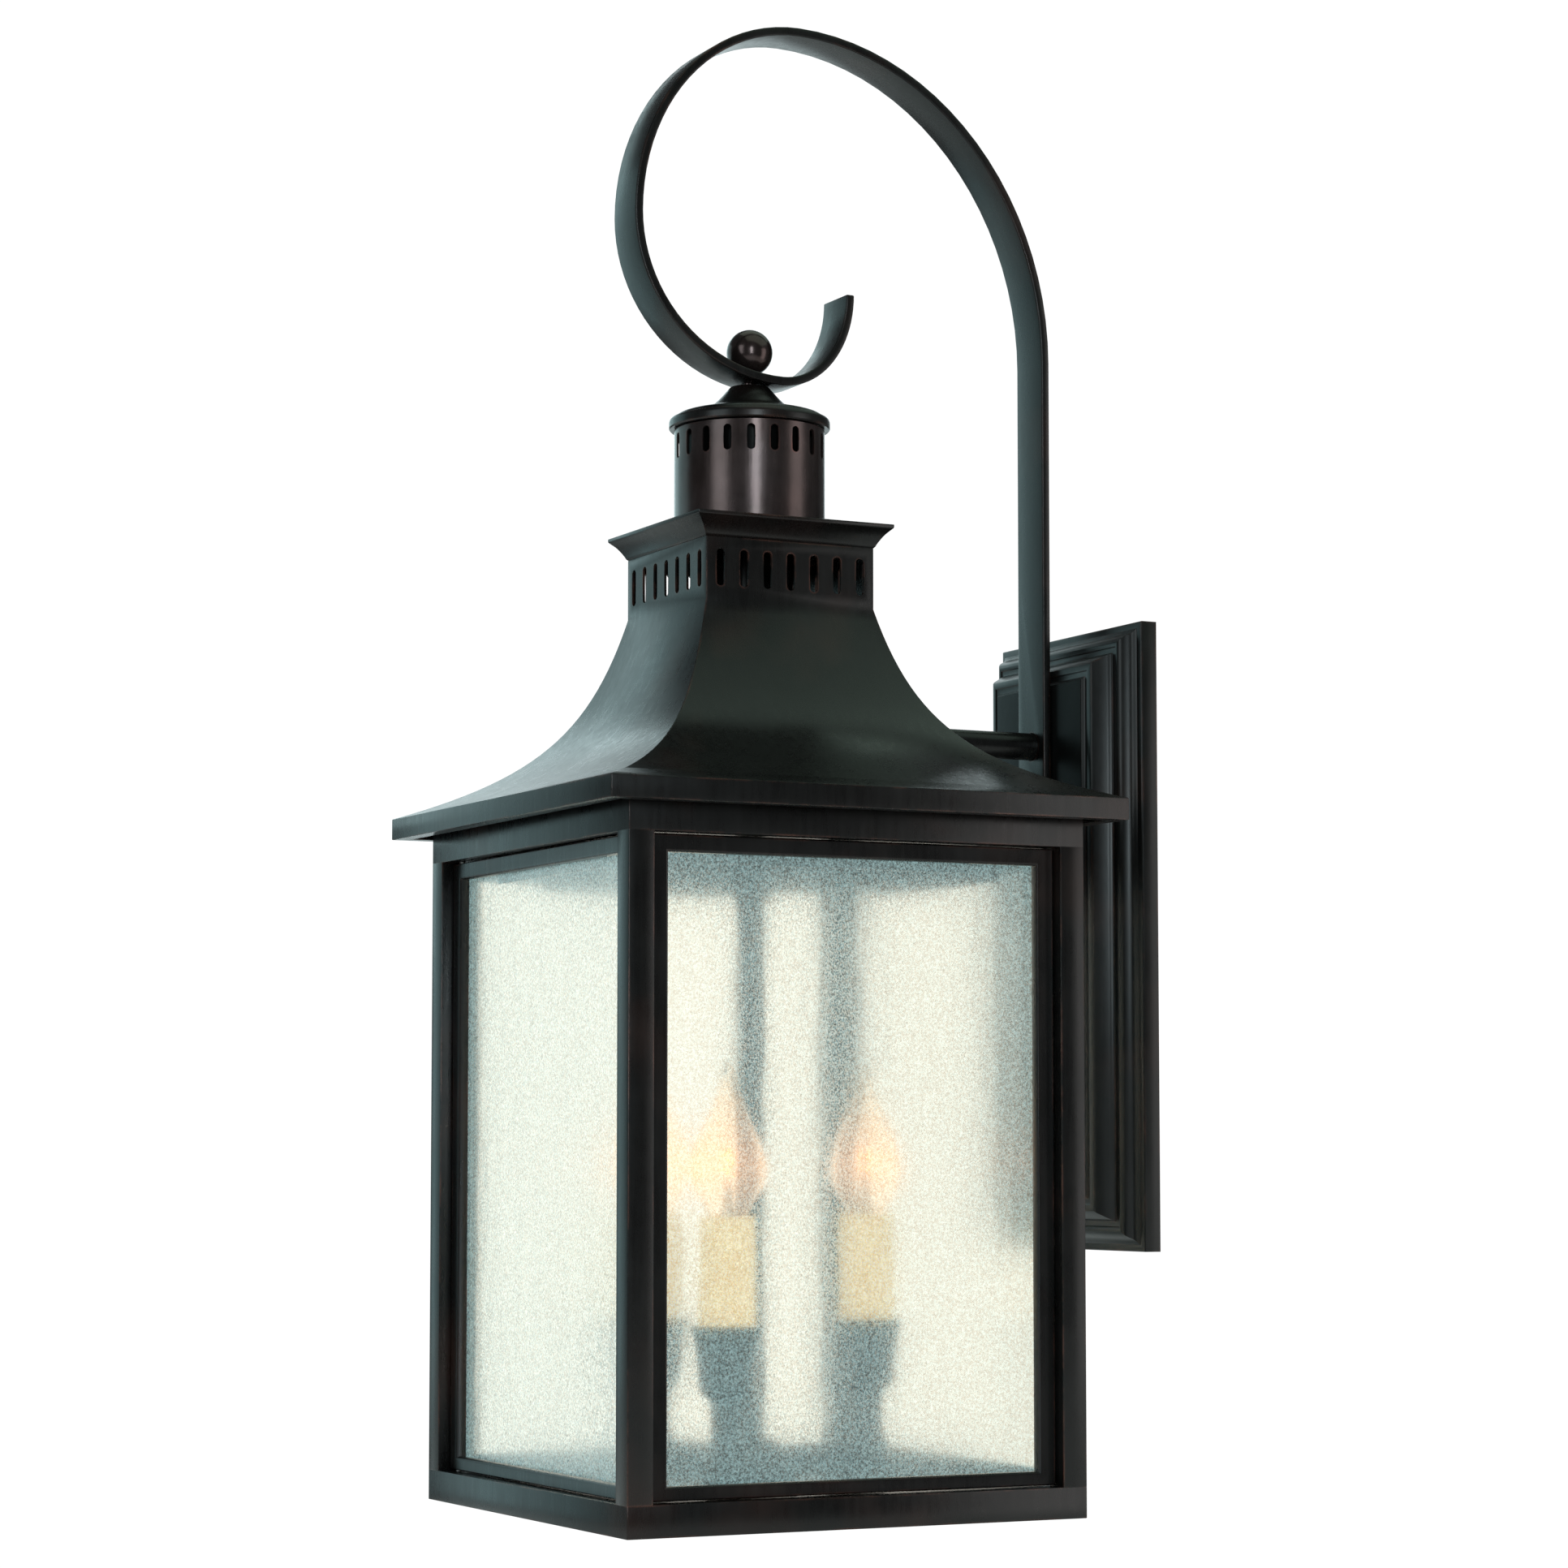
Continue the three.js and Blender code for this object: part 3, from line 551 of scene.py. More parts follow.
def glass_finish():
    """Seeded glass: fine bubbles and drawn upright reams in a cloudy cream pane, with a painted bluish glow
    on its outer faces that stands in for lit haze.
    """
    f = Finish("seeded_glass")
    f.set(Metallic=0, IOR=1.45, Transmission_Weight=1, Specular_IOR_Level=0.5)
    cloud = f.noise(14 * MM, detail=4, stretch=(1, 1, 3))
    f.colour(f.mix(f.ramp(cloud, (0.3, 0.0), (0.75, 1.0)), (0.918, 0.872, 0.775), (0.935, 0.888, 0.792)))
    seeds = f.spots(2.1 * MM)
    dome = f.ramp(seeds.outputs["Distance"], (0.0, 1.0), (0.42, 0.0))
    some = f.math("GREATER_THAN", f.separate(seeds.outputs["Color"]), 0.6)
    bubbles = f.math("MULTIPLY", dome, some)
    reams = f.noise(4 * MM, detail=3, stretch=(1, 1, 16), rough=0.55)
    f.normal(f.bump(bubbles, 0.15, 0.04 * MM, f.bump(reams, 0.15, 0.06 * MM)))
    f.roughness(f.ramp(f.noise(0.6 * MM, detail=3, stretch=(1, 1, 1.5)), (0.42, 0.06), (0.62, 0.36)))
    # Painted light: a speckled bluish glow on the outer faces only stands in for haze lit from outside; the
    # glass is no lamp.
    painted_haze_glow = f.ramp(f.noise(0.9 * MM, detail=3, rough=0.7), (0.38, 0.07), (0.64, 0.39))
    f.glow((0.62, 0.98, 1.0), f.math("MULTIPLY", painted_haze_glow, f.outer_face()))
    return f.material


def candle_finish():
    """Cream sleeve of moulded wax-like resin: cloudy and a little waxy."""
    f = Finish("candle_cream")
    f.set(Metallic=0, Specular_IOR_Level=0.4, Subsurface_Weight=0.15)
    f.shader.inputs["Subsurface Radius"].default_value = (0.004, 0.0025, 0.001)
    cloud = f.ramp(f.noise(9 * MM, detail=5), (0.32, 0.0), (0.7, 1.0))
    body = f.mix(cloud, (0.86, 0.63, 0.32), (0.95, 0.76, 0.44))
    f.colour(body)
    # Painted light: the sleeve glows in its own colour, as if lit by the lamps, though it is no lamp.
    f.glow(body, 0.36)
    f.roughness(f.ramp(f.noise(5 * MM), (0.3, 0.42), (0.7, 0.62)))
    runs = f.noise(2.4 * MM, detail=4, stretch=(1, 1, 5))
    f.normal(f.bump(runs, 0.5, 0.5 * MM))
    return f.material


def plated_finish(name, colour, shade, rough=(0.28, 0.5)):
    """Bright plated metal: faint brushing, dull spots and a little grime."""
    f = Finish(name)
    f.set(Metallic=1)
    dull = f.ramp(f.noise(6 * MM, detail=6, rough=0.65), (0.4, 0.0), (0.72, 1.0))
    f.colour(f.mix(dull, colour, shade))
    f.roughness(f.ramp(dull, (0.0, rough[0]), (1.0, rough[1])))
    f.normal(f.bump(f.noise(0.5 * MM, detail=3, stretch=(1, 1, 6)), 0.2, 0.05 * MM))
    return f.material


def phenolic_finish():
    """Black moulded lamp holder: speckled, half matt."""
    f = Finish("phenolic")
    f.set(Metallic=0)
    fleck = f.ramp(f.noise(0.8 * MM, detail=4), (0.45, 0.0), (0.8, 1.0))
    f.colour(f.mix(fleck, (0.012, 0.011, 0.01), (0.05, 0.042, 0.034)))
    f.roughness(f.ramp(f.noise(4 * MM), (0.3, 0.45), (0.7, 0.65)))
    f.normal(f.bump(f.noise(0.6 * MM), 0.2, 0.05 * MM))
    return f.material


def bulb_finish():
    """Clear lamp glass, tinted amber round the filament and clearer at the neck and the tip."""
    f = Finish("bulb_glass")
    f.set(Metallic=0, IOR=1.14, Transmission_Weight=1)
    low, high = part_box("bulb_envelope_1")
    height = f.spread(f.along("Z"), low.z, high.z)
    tint = f.ramp(height, (0.0, (0.98, 0.95, 0.9)), (0.4, (1.0, 0.86, 0.72)), (0.9, (1.0, 0.96, 0.9)))
    f.colour(f.mix(f.ramp(f.noise(6 * MM), (0.3, 0.0), (0.8, 0.3)), tint, (1.0, 0.9, 0.8)))
    f.roughness(f.ramp(f.noise(10 * MM), (0.3, 0.08), (0.8, 0.16)))
    f.normal(f.bump(f.noise(7 * MM, detail=2), 0.2, 0.2 * MM))
    f.glow((1.0, 0.6, 0.4), f.ramp(height, (0.0, 0.04), (0.35, 0.12), (0.8, 0.03), (1.0, 0.02)))
    return f.material


def filament_finish():
    """The glowing wire."""
    f = Finish("filament")
    heat = f.ramp(f.noise(1.2 * MM), (0.2, (1.0, 0.45, 0.2)), (0.8, (1.0, 0.62, 0.34)))
    f.colour(heat)
    f.glow(heat, 1.5)
    f.set(Roughness=0.5)
    return f.material


def lead_finish():
    """Black rubbery cover of the leads: scuffed, nearly matt."""
    f = Finish("lead_cover")
    f.set(Metallic=0)
    scuffs = f.ramp(f.noise(5 * MM), (0.3, 0.0), (0.7, 1.0))
    f.colour(f.mix(scuffs, (0.012, 0.012, 0.012), (0.03, 0.029, 0.027)))
    f.roughness(f.ramp(f.noise(3 * MM), (0.3, 0.5), (0.7, 0.75)))
    f.normal(f.bump(f.noise(0.6 * MM, detail=2), 0.2, 0.05 * MM))
    return f.material


slate_bronze = bronze_finish(
    "slate_bronze", (0.005, 0.0044, 0.0041), (0.0105, 0.0096, 0.0092), (0.2, 0.075, 0.05)
)
plate_bronze = bronze_finish(
    "plate_bronze", (0.005, 0.0048, 0.0046), (0.011, 0.0105, 0.01), (0.2, 0.07, 0.045), gloss=(0.26, 0.38),
    flat_centre=(39.2 * MM, PLATE_HIGH.z - 25.6 * MM),
)
brown_bronze = bronze_finish(
    "brown_bronze", (0.055, 0.038, 0.036), (0.12, 0.086, 0.084), (0.24, 0.1, 0.08),
    gloss=(0.16, 0.28), metal=0.8,
)
# The flue's inside faces get painted shade: near black and dull.
flue_bronze = bronze_finish(
    "flue_bronze", (0.045, 0.034, 0.032), (0.11, 0.082, 0.08), (0.24, 0.09, 0.07),
    gloss=(0.18, 0.3), metal=0.8, painted_shade_radius=CHIMNEY_HIGH.x - 2 * MM,
)
seeded_glass = glass_finish()
candle_cream = candle_finish()
zinc_plate = plated_finish("zinc_plate", (0.60, 0.62, 0.61), (0.36, 0.36, 0.33))
brass_base = plated_finish("brass_base", (0.74, 0.52, 0.24), (0.46, 0.29, 0.12))
phenolic = phenolic_finish()
bulb_glass = bulb_finish()
filament_glow = filament_finish()
lead_cover = lead_finish()


def hand_over(piece, material=slate_bronze, body=LANTERN, nodes=None, smooth=35):
    """Shades a finished piece, gives it its material and puts it on its body in place of its CAD nodes."""
    activate(piece)
    bpy.ops.object.shade_smooth_by_angle(angle=radians(smooth))
    piece.data.materials.clear()
    piece.data.materials.append(material)
    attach(piece, body)
    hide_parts(*([piece.name.removesuffix(VISUAL)] if nodes is None else nodes))
    return piece


# ---- cage ----
def cage_posts():
    """Four square tubes between the two frames."""
    corners = {"front_left": (-1, -1), "front_right": (1, -1), "rear_left": (-1, 1), "rear_right": (1, 1)}
    sunk = 0.4 * MM
    low, high = RAIL_HIGH.z - sunk, HEAD_LOW.z + sunk
    half, bore_half = BAR / 2, BAR / 2 - TUBE_WALL
    first = None
    for place, (sx, sy) in corners.items():
        x, y = sx * CORNER, AXIS.y + sy * CORNER
        if first is None:
            ends = [(low, half), (high, half), (high, bore_half), (low, bore_half)]
            first = loft(f"post_{place}", [((x, y, z), h, h) for z, h in ends])
            soften(first, 0.35 * MM)
            home = Vector((x, y, 0))
            post = first
        else:
            post = twin(first, f"post_{place}", shift=Vector((x, y, 0)) - home)
        hand_over(post)


def bottom_frame():
    outer, inner = CAGE_HALF, CAGE_HALF - BAR
    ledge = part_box("floor_plate")[0].z - TOUCH
    lip = 7 * MM
    wall = TUBE_WALL
    low, high = RAIL_LOW.z, RAIL_HIGH.z
    frame_piece = squared("bottom_frame", [
        (outer, low), (outer, high), (inner, high), (inner, ledge), (inner - lip, ledge),
        (inner - lip, ledge - wall), (inner + wall, ledge - wall), (inner + wall, high - wall),
        (outer - wall, high - wall), (outer - wall, low),
    ])
    soften(frame_piece, 0.35 * MM)
    pin, magnet = middle("hinge_pin_lower"), middle("door_magnet")
    reach = 5 * MM
    pin_hole = drill(1.6 * MM, high - reach, high + reach, pin.x, pin.y)
    magnet_hole = drill(3.3 * MM, high - reach, high + reach, magnet.x, magnet.y)
    hand_over(cut(frame_piece, pin_hole, magnet_hole))


def top_frame():
    outer, inner = CAGE_HALF, CAGE_HALF - BAR
    wall = TUBE_WALL
    low, high = HEAD_LOW.z, HEAD_HIGH.z
    frame_piece = squared("top_frame", [
        (outer, low), (outer, high), (outer - wall, high), (outer - wall, low + wall),
        (inner + wall, low + wall), (inner + wall, high), (inner, high), (inner, low),
    ])
    soften(frame_piece, 0.35 * MM)
    pin = middle("hinge_pin_upper")
    reach = 5 * MM
    hand_over(cut(frame_piece, drill(1.6 * MM, low - reach, low + reach, pin.x, pin.y)))


def floor_plate():
    """A flat tray with a pressed border and a hole for the stem."""
    low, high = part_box("floor_plate")
    plate = block("floor_plate", low, high)
    pick(plate, lambda _, normal: normal.z > 0.9)
    bpy.ops.mesh.inset(thickness=14 * MM, depth=0)
    bpy.ops.mesh.inset(thickness=1.2 * MM, depth=-0.5 * MM)
    leave()
    soften(plate, 0.25 * MM)
    hole = drill(WIREWAY_HOLE, low.z - MM, high.z + MM, AXIS.x, AXIS.y)
    hand_over(cut(plate, hole))


# ---- panes ----
def moulded_frame(name, half):
    """A pane frame on the front side: flat face, soft sight edge and a rebate for the glass."""
    low, high = DOOR_LOW.z, DOOR_HIGH.z
    face, rear = DOOR_LOW.y, DOOR_HIGH.y
    lip_back = GLASS_LOW.y - TOUCH
    sight = PANE_HALF - STILE
    seat = sight + REBATE
    glass_low, glass_high = GLASS_LOW.z - TOUCH, GLASS_HIGH.z + TOUCH

    def rectangle(half_x, z0, z1, y):
        return ((0, y, (z0 + z1) / 2), half_x, (z1 - z0) / 2)

    def within(inset, y):
        """The sight opening, grown by an inset."""
        return rectangle(sight + inset, low + LOW_RAIL - inset, high - TOP_RAIL + inset, y)

    edge = 1.3 * MM
    soft = [within(edge * (1 - sin(t)), face + edge * (1 - cos(t))) for t in (0, pi / 6, pi / 3, pi / 2)]
    loops = [
        rectangle(half, low, high, rear), rectangle(half, low, high, face + 0.5 * MM),
        rectangle(half - 0.5 * MM, low + 0.5 * MM, high - 0.5 * MM, face), *soft, within(0, lip_back),
        rectangle(seat, glass_low, glass_high, lip_back), rectangle(seat, glass_low, glass_high, rear),
    ]
    return soften(loft(name, loops, upright=True), 0.2 * MM, angle=50)


def wavy_pane(name):
    """A drawn pane: a grid with long upright waves, different on its two faces."""
    clear()
    width, height = GLASS_HIGH.x - GLASS_LOW.x, GLASS_HIGH.z - GLASS_LOW.z
    thick = GLASS_HIGH.y - GLASS_LOW.y
    bpy.ops.mesh.primitive_grid_add(x_subdivisions=84, y_subdivisions=40, size=1)
    pane = bpy.context.object
    pane.scale = (width, height, 1)
    pane.rotation_euler = (pi / 2, 0, 0)
    pane.location = (0, GLASS_LOW.y + thick / 2, (GLASS_LOW.z + GLASS_HIGH.z) / 2)
    begin(name)
    leave()
    modify(pane, "SOLIDIFY", thickness=thick - 0.3 * MM, offset=0)
    enter()
    margin = 3 * MM
    pick(
        pane,
        lambda at, _: abs(at.x) < width / 2 - margin and GLASS_LOW.z + margin < at.z < GLASS_HIGH.z - margin,
        "VERT",
    )
    bpy.ops.transform.vertex_random(offset=0.09 * MM, uniform=0, normal=1, seed=11)
    bpy.ops.mesh.vertices_smooth(factor=0.5, repeat=2)
    leave()
    return outward(pane)


def glass_clip(name):
    """A cranked strip on the back of the top rail, with a rounded tongue on the glass and two screws."""
    low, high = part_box("glass_retainer_door")
    foot = GLASS_HIGH.z + 2 * TOUCH
    strip = block(name, (low.x, high.y - SHEET, low.z), (high.x, high.y, foot))
    pick(strip, lambda _, normal: normal.z > 0.9)
    extrude((0, 0, high.z - foot))
    pick(strip, lambda at, normal: normal.y < -0.9 and at.z > foot)
    extrude((0, low.y - (high.y - SHEET), 0))
    leave()
    soften(strip, 0.25 * MM)
    level = (foot + high.z) / 2
    for x in (low.x * 0.75, high.x * 0.75):
        dome = [(1.1 * MM, high.y - 0.6 * MM), (1.0 * MM, high.y - 0.1 * MM), (0, high.y)]
        cut(strip, bored("head", dome, x, level, 20), operation="UNION")
    return strip


def panes():
    """Three fixed panes, and the same in the door, whose frame is returned for its holes."""
    door_frame = moulded_frame("door_frame", DOOR_HIGH.x)
    fixed = moulded_frame("fixed_frame", PANE_HALF)
    pane = wavy_pane("glass_door")
    clip = glass_clip("glass_retainer_door")
    for side, turn in {"right": 90, "rear": 180, "left": 270}.items():
        turned_by = radians(turn)
        hand_over(twin(pane, f"glass_{side}", turn=turned_by), seeded_glass)
        hand_over(twin(clip, f"glass_retainer_{side}", turn=turned_by))
        hand_over(twin(fixed, f"pane_frame_{side}", turn=turned_by))
    bpy.data.objects.remove(fixed)
    hand_over(pane, seeded_glass, DOOR)
    hand_over(clip, body=DOOR)
    return door_frame


def door_hardware(door_frame):
    """Pins, magnet and strike, and the holes for them in the door."""
    cutters = []
    for end in ("lower", "upper"):
        low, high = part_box(f"hinge_pin_{end}")
        at, r = middle(f"hinge_pin_{end}"), (high.x - low.x) / 2
        pin = turned(f"hinge_pin_{end}", rod(r, low.z, high.z, 0.4 * MM), at.x, at.y, 24, start="capped")
        hand_over(pin, zinc_plate)
        cutters.append(drill(r + TOUCH, low.z - TOUCH, high.z + TOUCH, at.x, at.y, 24))
    low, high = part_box("door_magnet")
    at, r = middle("door_magnet"), (high.x - low.x) / 2
    magnet = turned("door_magnet", rod(r, low.z, high.z, 0.3 * MM), at.x, at.y, 32, start="capped")
    hand_over(magnet, zinc_plate)
    low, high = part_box("door_strike")
    strike = block("door_strike", low, high)
    pick(strike, lambda _, normal: normal.z < -0.9)
    bpy.ops.mesh.inset(thickness=0.4 * MM, depth=-0.15 * MM)
    leave()
    hand_over(soften(strike, 0.15 * MM), zinc_plate, DOOR)
    grow = Vector((TOUCH, TOUCH, TOUCH))
    pocket = block("pocket", low - grow - Vector((0, 0, MM)), high + grow)
    leave()
    hand_over(cut(door_frame, *cutters, pocket), body=DOOR)


# ---- roof ----
def flare(inset, steps=26):
    """(half side, height) up the concave roof, from the fascia to the neck."""
    foot = ROOF_LOW.z + FASCIA
    ends = [
        Vector((ROOF_HIGH.x, foot)), Vector((ROOF_HIGH.x - 52 * MM, foot + 17 * MM)),
        Vector((NECK_HALF + 13.5 * MM, ROOF_HIGH.z - 81 * MM)), Vector((NECK_HALF, ROOF_HIGH.z - 28 * MM)),
    ]
    out = []
    for i in range(steps + 1):
        t = i / steps
        weights = ((1 - t) ** 3, 3 * t * (1 - t) ** 2, 3 * t * t * (1 - t), t ** 3)
        place = sum((end * weight for end, weight in zip(ends, weights)), Vector((0, 0)))
        slope = ((ends[1] - ends[0]) * (1 - t) ** 2 + (ends[2] - ends[1]) * 2 * t * (1 - t)
                 + (ends[3] - ends[2]) * t * t).normalized()
        out.append((place.x - slope.y * inset, place.y + slope.x * inset))
    return out


def roof_shell():
    """Fascia with a turned-in hem, concave flare and slotted neck, in one sheet."""
    low, high, half = ROOF_LOW.z, ROOF_HIGH.z, ROOF_HIGH.x
    foot = low + FASCIA
    hem = 8 * MM
    inside = [point for point in flare(SHEET) if NECK_HALF - SHEET < point[0] < half - 2 * SHEET]
    seam = COLLAR_LOW.z + 0.2 * MM
    shell = squared("roof_shell", [
        (half, low), *flare(0), (NECK_HALF, seam), (NECK_HALF - SHEET, seam), *reversed(inside),
        (half - SHEET, foot - 0.8 * MM), (half - SHEET, low + SHEET), (half - hem, low + SHEET),
        (half - hem, low),
    ])
    soften(shell, 0.45 * MM, angle=28)
    slots = 7
    level = high - 13.5 * MM
    pitch = 11.8 * MM
    for i in range(slots):
        along = (i - (slots - 1) / 2) * pitch
        for turn in (0, pi / 2):
            place = AXIS + Vector((along * sin(turn), along * cos(turn), level))
            cut(shell, slot_cutter(4.2 * MM, 17 * MM, 2 * NECK_HALF + 8 * MM, place, turn))
    arm_hole = bore(WIREWAY_HOLE, AXIS.y + 30 * MM, AXIS.y + half, AXIS.x, middle("support_arm").z)
    hand_over(cut(shell, arm_hole), smooth=30)


def roof_collar():
    """A coved square lip on the neck, under a flat plate with the flue hole."""
    low, high, half = COLLAR_LOW.z, COLLAR_HIGH.z, COLLAR_HIGH.x
    brim = high - 1.6 * MM
    cove = flowing([
        (NECK_HALF + 0.7 * MM, low + 0.8 * MM), *past(low, [(44.4, 2.9), (46.7, 6.2)]), (half, brim),
    ], 3)
    profile = [
        (NECK_HALF - SHEET, low), (NECK_HALF, low), *cove, (half, high), (half - 2 * MM, high),
        (half - 2.6 * MM, high - SHEET), (4 * MM, high - SHEET), (4 * MM, high - 2 * SHEET),
        (45.4 * MM, high - 2 * SHEET), *past(low, [(44.3, 5.8), (41.6, 2.4)]),
    ]
    collar = squared("roof_collar", profile)
    soften(collar, 0.35 * MM, angle=28)
    flue = drill(31 * MM, high - 6 * MM, high + MM, AXIS.x, AXIS.y, 64)
    hand_over(cut(collar, flue), smooth=30)


def chimney():
    """A rolled tube whose foot is folded up inside as a draught ring, behind a ring of slots."""
    low, high, r = CHIMNEY_LOW.z, CHIMNEY_HIGH.z, CHIMNEY_HIGH.x
    wall = 1.0 * MM
    ring = r - 4 * MM
    pipe = turned("chimney", [
        *rod(r, low, high, 0.3 * MM), (r - wall, high), (r - wall, low + wall), (ring, low + wall),
        (ring, high - MM), (ring - wall, high - MM), (ring - wall, low),
    ], sides=120)
    count = 20
    for i in range(count):
        turn = radians(11) + 2 * pi * i / count
        place = AXIS + Vector((r * cos(turn), r * sin(turn), high - 8.6 * MM))
        cut(pipe, slot_cutter(4 * MM, 12 * MM, 5 * MM, place, turn))
    hand_over(pipe, flue_bronze, smooth=25)


def chimney_cap():
    """A rolled rim, a low dome and a concave cone up to the scroll."""
    low, high, r = CAP_LOW.z, CAP_HIGH.z, CAP_HIGH.x
    rim = 5 * MM
    bead = arc((r - 1.4 * MM, low + rim - 2.2 * MM), (1.4 * MM, 2.2 * MM), 0, 90, 4)
    dome = flowing([
        (r - 2.6 * MM, low + rim + 0.4 * MM),
        *past(low, [(33, 6.9), (26, 8.7), (19.8, 10.2), (17.2, 11.5), (13.6, 14.9), (10.8, 18.1)]),
        (9 * MM, high),
    ], 3)
    hole = 3.4 * MM
    under = [
        (hole, high - SHEET), (8.6 * MM, high - SHEET),
        *past(low, [(12.6, 14.2), (16.4, 10.3), (24, 7.7), (33, 5.1), (33, 0)]),
    ]
    cap = turned("chimney_cap", [
        (r - 0.5 * MM, low), (r, low + 0.6 * MM), *bead, (r - 2.2 * MM, low + rim - 0.4 * MM), *dome,
        (hole, high), *under,
    ], sides=96)
    hand_over(cap, smooth=28)


def finial_ball():
    """A ball with a short flat foot on its stud."""
    low, top, r = BALL_LOW.z, BALL_HIGH.z, BALL_HIGH.x
    centre = top - r
    stud = 3 * MM
    foot = centre - 9.6 * MM
    round_part = arc((0, centre), (r, r), -62.7, 90, 22)[:-1]
    ball = turned("finial_ball", [(stud, low), (stud, foot), *round_part, (0, top)], sides=64, start="capped")
    hand_over(ball, brown_bronze, smooth=40)


# ---- scroll, arm and wall side ----
STUDS = ("plate_stud_lower", "plate_stud_upper")


def scroll_line():
    """The strip's middle line as (y, z), from the foot of its leg to the tip of its curl."""
    leg = PLATE_LOW.y - TOUCH - 2 * MM
    reach = leg - AXIS.y
    quarters = [
        ((20, 277), (reach / MM - 20, 145), 0), ((20, 329), (82, 93), 90),
        ((12, 329), (74, 73), 180), ((12, 300), (35, 44), 270),
    ]
    line = [(leg, STRIP_LOW.z), (leg, STRIP_LOW.z + 20 * MM), (leg, 180 * MM)]
    for centre, size, start in quarters:
        points = mm(arc(centre, size, start, start + 90, 22))
        line += [(AXIS.y + out, z) for out, z in points[0 if start == 0 else 1:]]
    return line


def scroll_strip():
    """One flat bar, bent along its line, with its long edges eased and holes for the arm and the stud."""
    half = STRIP_HIGH.x
    line = scroll_line()
    first = line[1][1] - line[0][1]
    strip = sheet("scroll_strip", 2 * half, first, (AXIS.x, line[0][0], line[0][1] + first / 2))
    top = line[1][1] - first * 0.1
    pick(strip, lambda at, _: at.z > top, "VERT")
    for (y0, z0), (y1, z1) in zip(line[1:], line[2:]):
        extrude((0, y1 - y0, z1 - z0))
    leave()
    outward(strip)
    modify(strip, "SOLIDIFY", thickness=4 * MM, offset=0, use_even_offset=True)
    soften(strip, 0.7 * MM, segments=3, angle=50)
    stud_hole = drill(3.4 * MM, CAP_HIGH.z - 5 * MM, BALL_HIGH.z, AXIS.x, AXIS.y)
    arm_level = middle("support_arm").z
    arm_hole = bore(WIREWAY_HOLE, PLATE_LOW.y - 12 * MM, PLATE_LOW.y + 4 * MM, AXIS.x, arm_level)
    hand_over(cut(strip, stud_hole, arm_hole), smooth=30)


def support_arm():
    """A threaded wireway tube with a plain middle."""
    at = middle("support_arm")
    r = (ARM_HIGH.x - ARM_LOW.x) / 2
    hole = 5 * MM
    near, far = ARM_LOW.y, ARM_HIGH.y
    threads = 7
    pitch = 1.5 * MM
    screwed = thread(r, r - 0.5 * MM, near + pitch / 2, pitch, threads)
    arm = bored("support_arm", [
        (r - 0.6 * MM, near), *screwed, (r, near + (threads + 0.5) * pitch), (r, far - 0.6 * MM),
        (r - 0.6 * MM, far), (hole, far), (hole, near),
    ], at.x, at.z, 48, start="open")
    hand_over(arm)


def backplate():
    """A stamped plate: rim, quirk, bead and cove stepping in to the flat plateau."""
    low, high = PLATE_LOW, PLATE_HIGH
    half = high.x
    proud = -low.y
    steps = [(half / MM, 8.0), (half / MM - 0.5, 8.5), (61.6, 8.8)]
    steps += flowing([(61.2, 9.2), (59.4, 10.6), (58.3, 12.8), (57.0, 14.8), (55.2, 15.9), (53.6, 15.7)], 3)
    steps += [(53.2, 15.3), (50.9, 15.5), (50.4, 16.2)]
    steps += [(50.2, 17.2), (49.7, 18.3), (46.9, 23.7), (46.0, 24.7), (44.6, 25.0), (43.2, 25.0)]
    steps += [(42.6, 24.5), (40.4, 24.3), (39.8, 24.9), (39.3, proud / MM - 0.3), (38.9, proud / MM)]
    plate = sheet("backplate", 2 * half, high.z - low.z)
    bpy.ops.mesh.select_all(action="SELECT")
    extrude((0, -steps[0][1] * MM, 0))
    for (half_a, out_a), (half_b, out_b) in zip(steps, steps[1:]):
        bpy.ops.mesh.inset(thickness=(half_a - half_b) * MM, depth=(out_b - out_a) * MM)
    pick(plate, lambda at, normal: abs(at.y) < 0.1 * MM)
    bpy.ops.mesh.delete(type="FACE")
    leave()
    outward(plate)
    modify(plate, "SOLIDIFY", thickness=SHEET, offset=-1)
    soften(plate, 0.25 * MM, segments=2, angle=32)
    cutters = [bore(WIREWAY_HOLE, low.y - 5 * MM, low.y + 5 * MM, 0, middle("support_arm").z)]
    for node in (*STUDS, "strip_screw_1", "strip_screw_2"):
        cutters.append(bore(STUD_HOLE, low.y - 5 * MM, low.y + 5 * MM, 0, middle(node).z, 20))
    hand_over(cut(plate, *cutters), plate_bronze, smooth=30)


def threaded(name, r, near, far, x, z, pitch=0.8 * MM):
    """A stud along Y with a rolled thread and chamfered ends."""
    lead, tip = 0.3 * MM, r - 0.5 * MM
    rolled = thread(r, r - lead, near + lead, pitch, int((far - near - 2 * lead) / pitch))
    return bored(name, [(tip, near), *rolled, (tip, far)], x, z, 20)


def hex_nut(name, across, near, far, x, z, hole):
    """A hexagon nut along Y with chamfered corners and a bored thread."""
    corner = across / sqrt(3)
    nut = bored(name, rod(corner, near, far, 0.5 * MM), x, z, 6)
    soften(nut, 0.2 * MM, angle=20)
    return cut(nut, bore(hole, near - MM, far + MM, x, z))


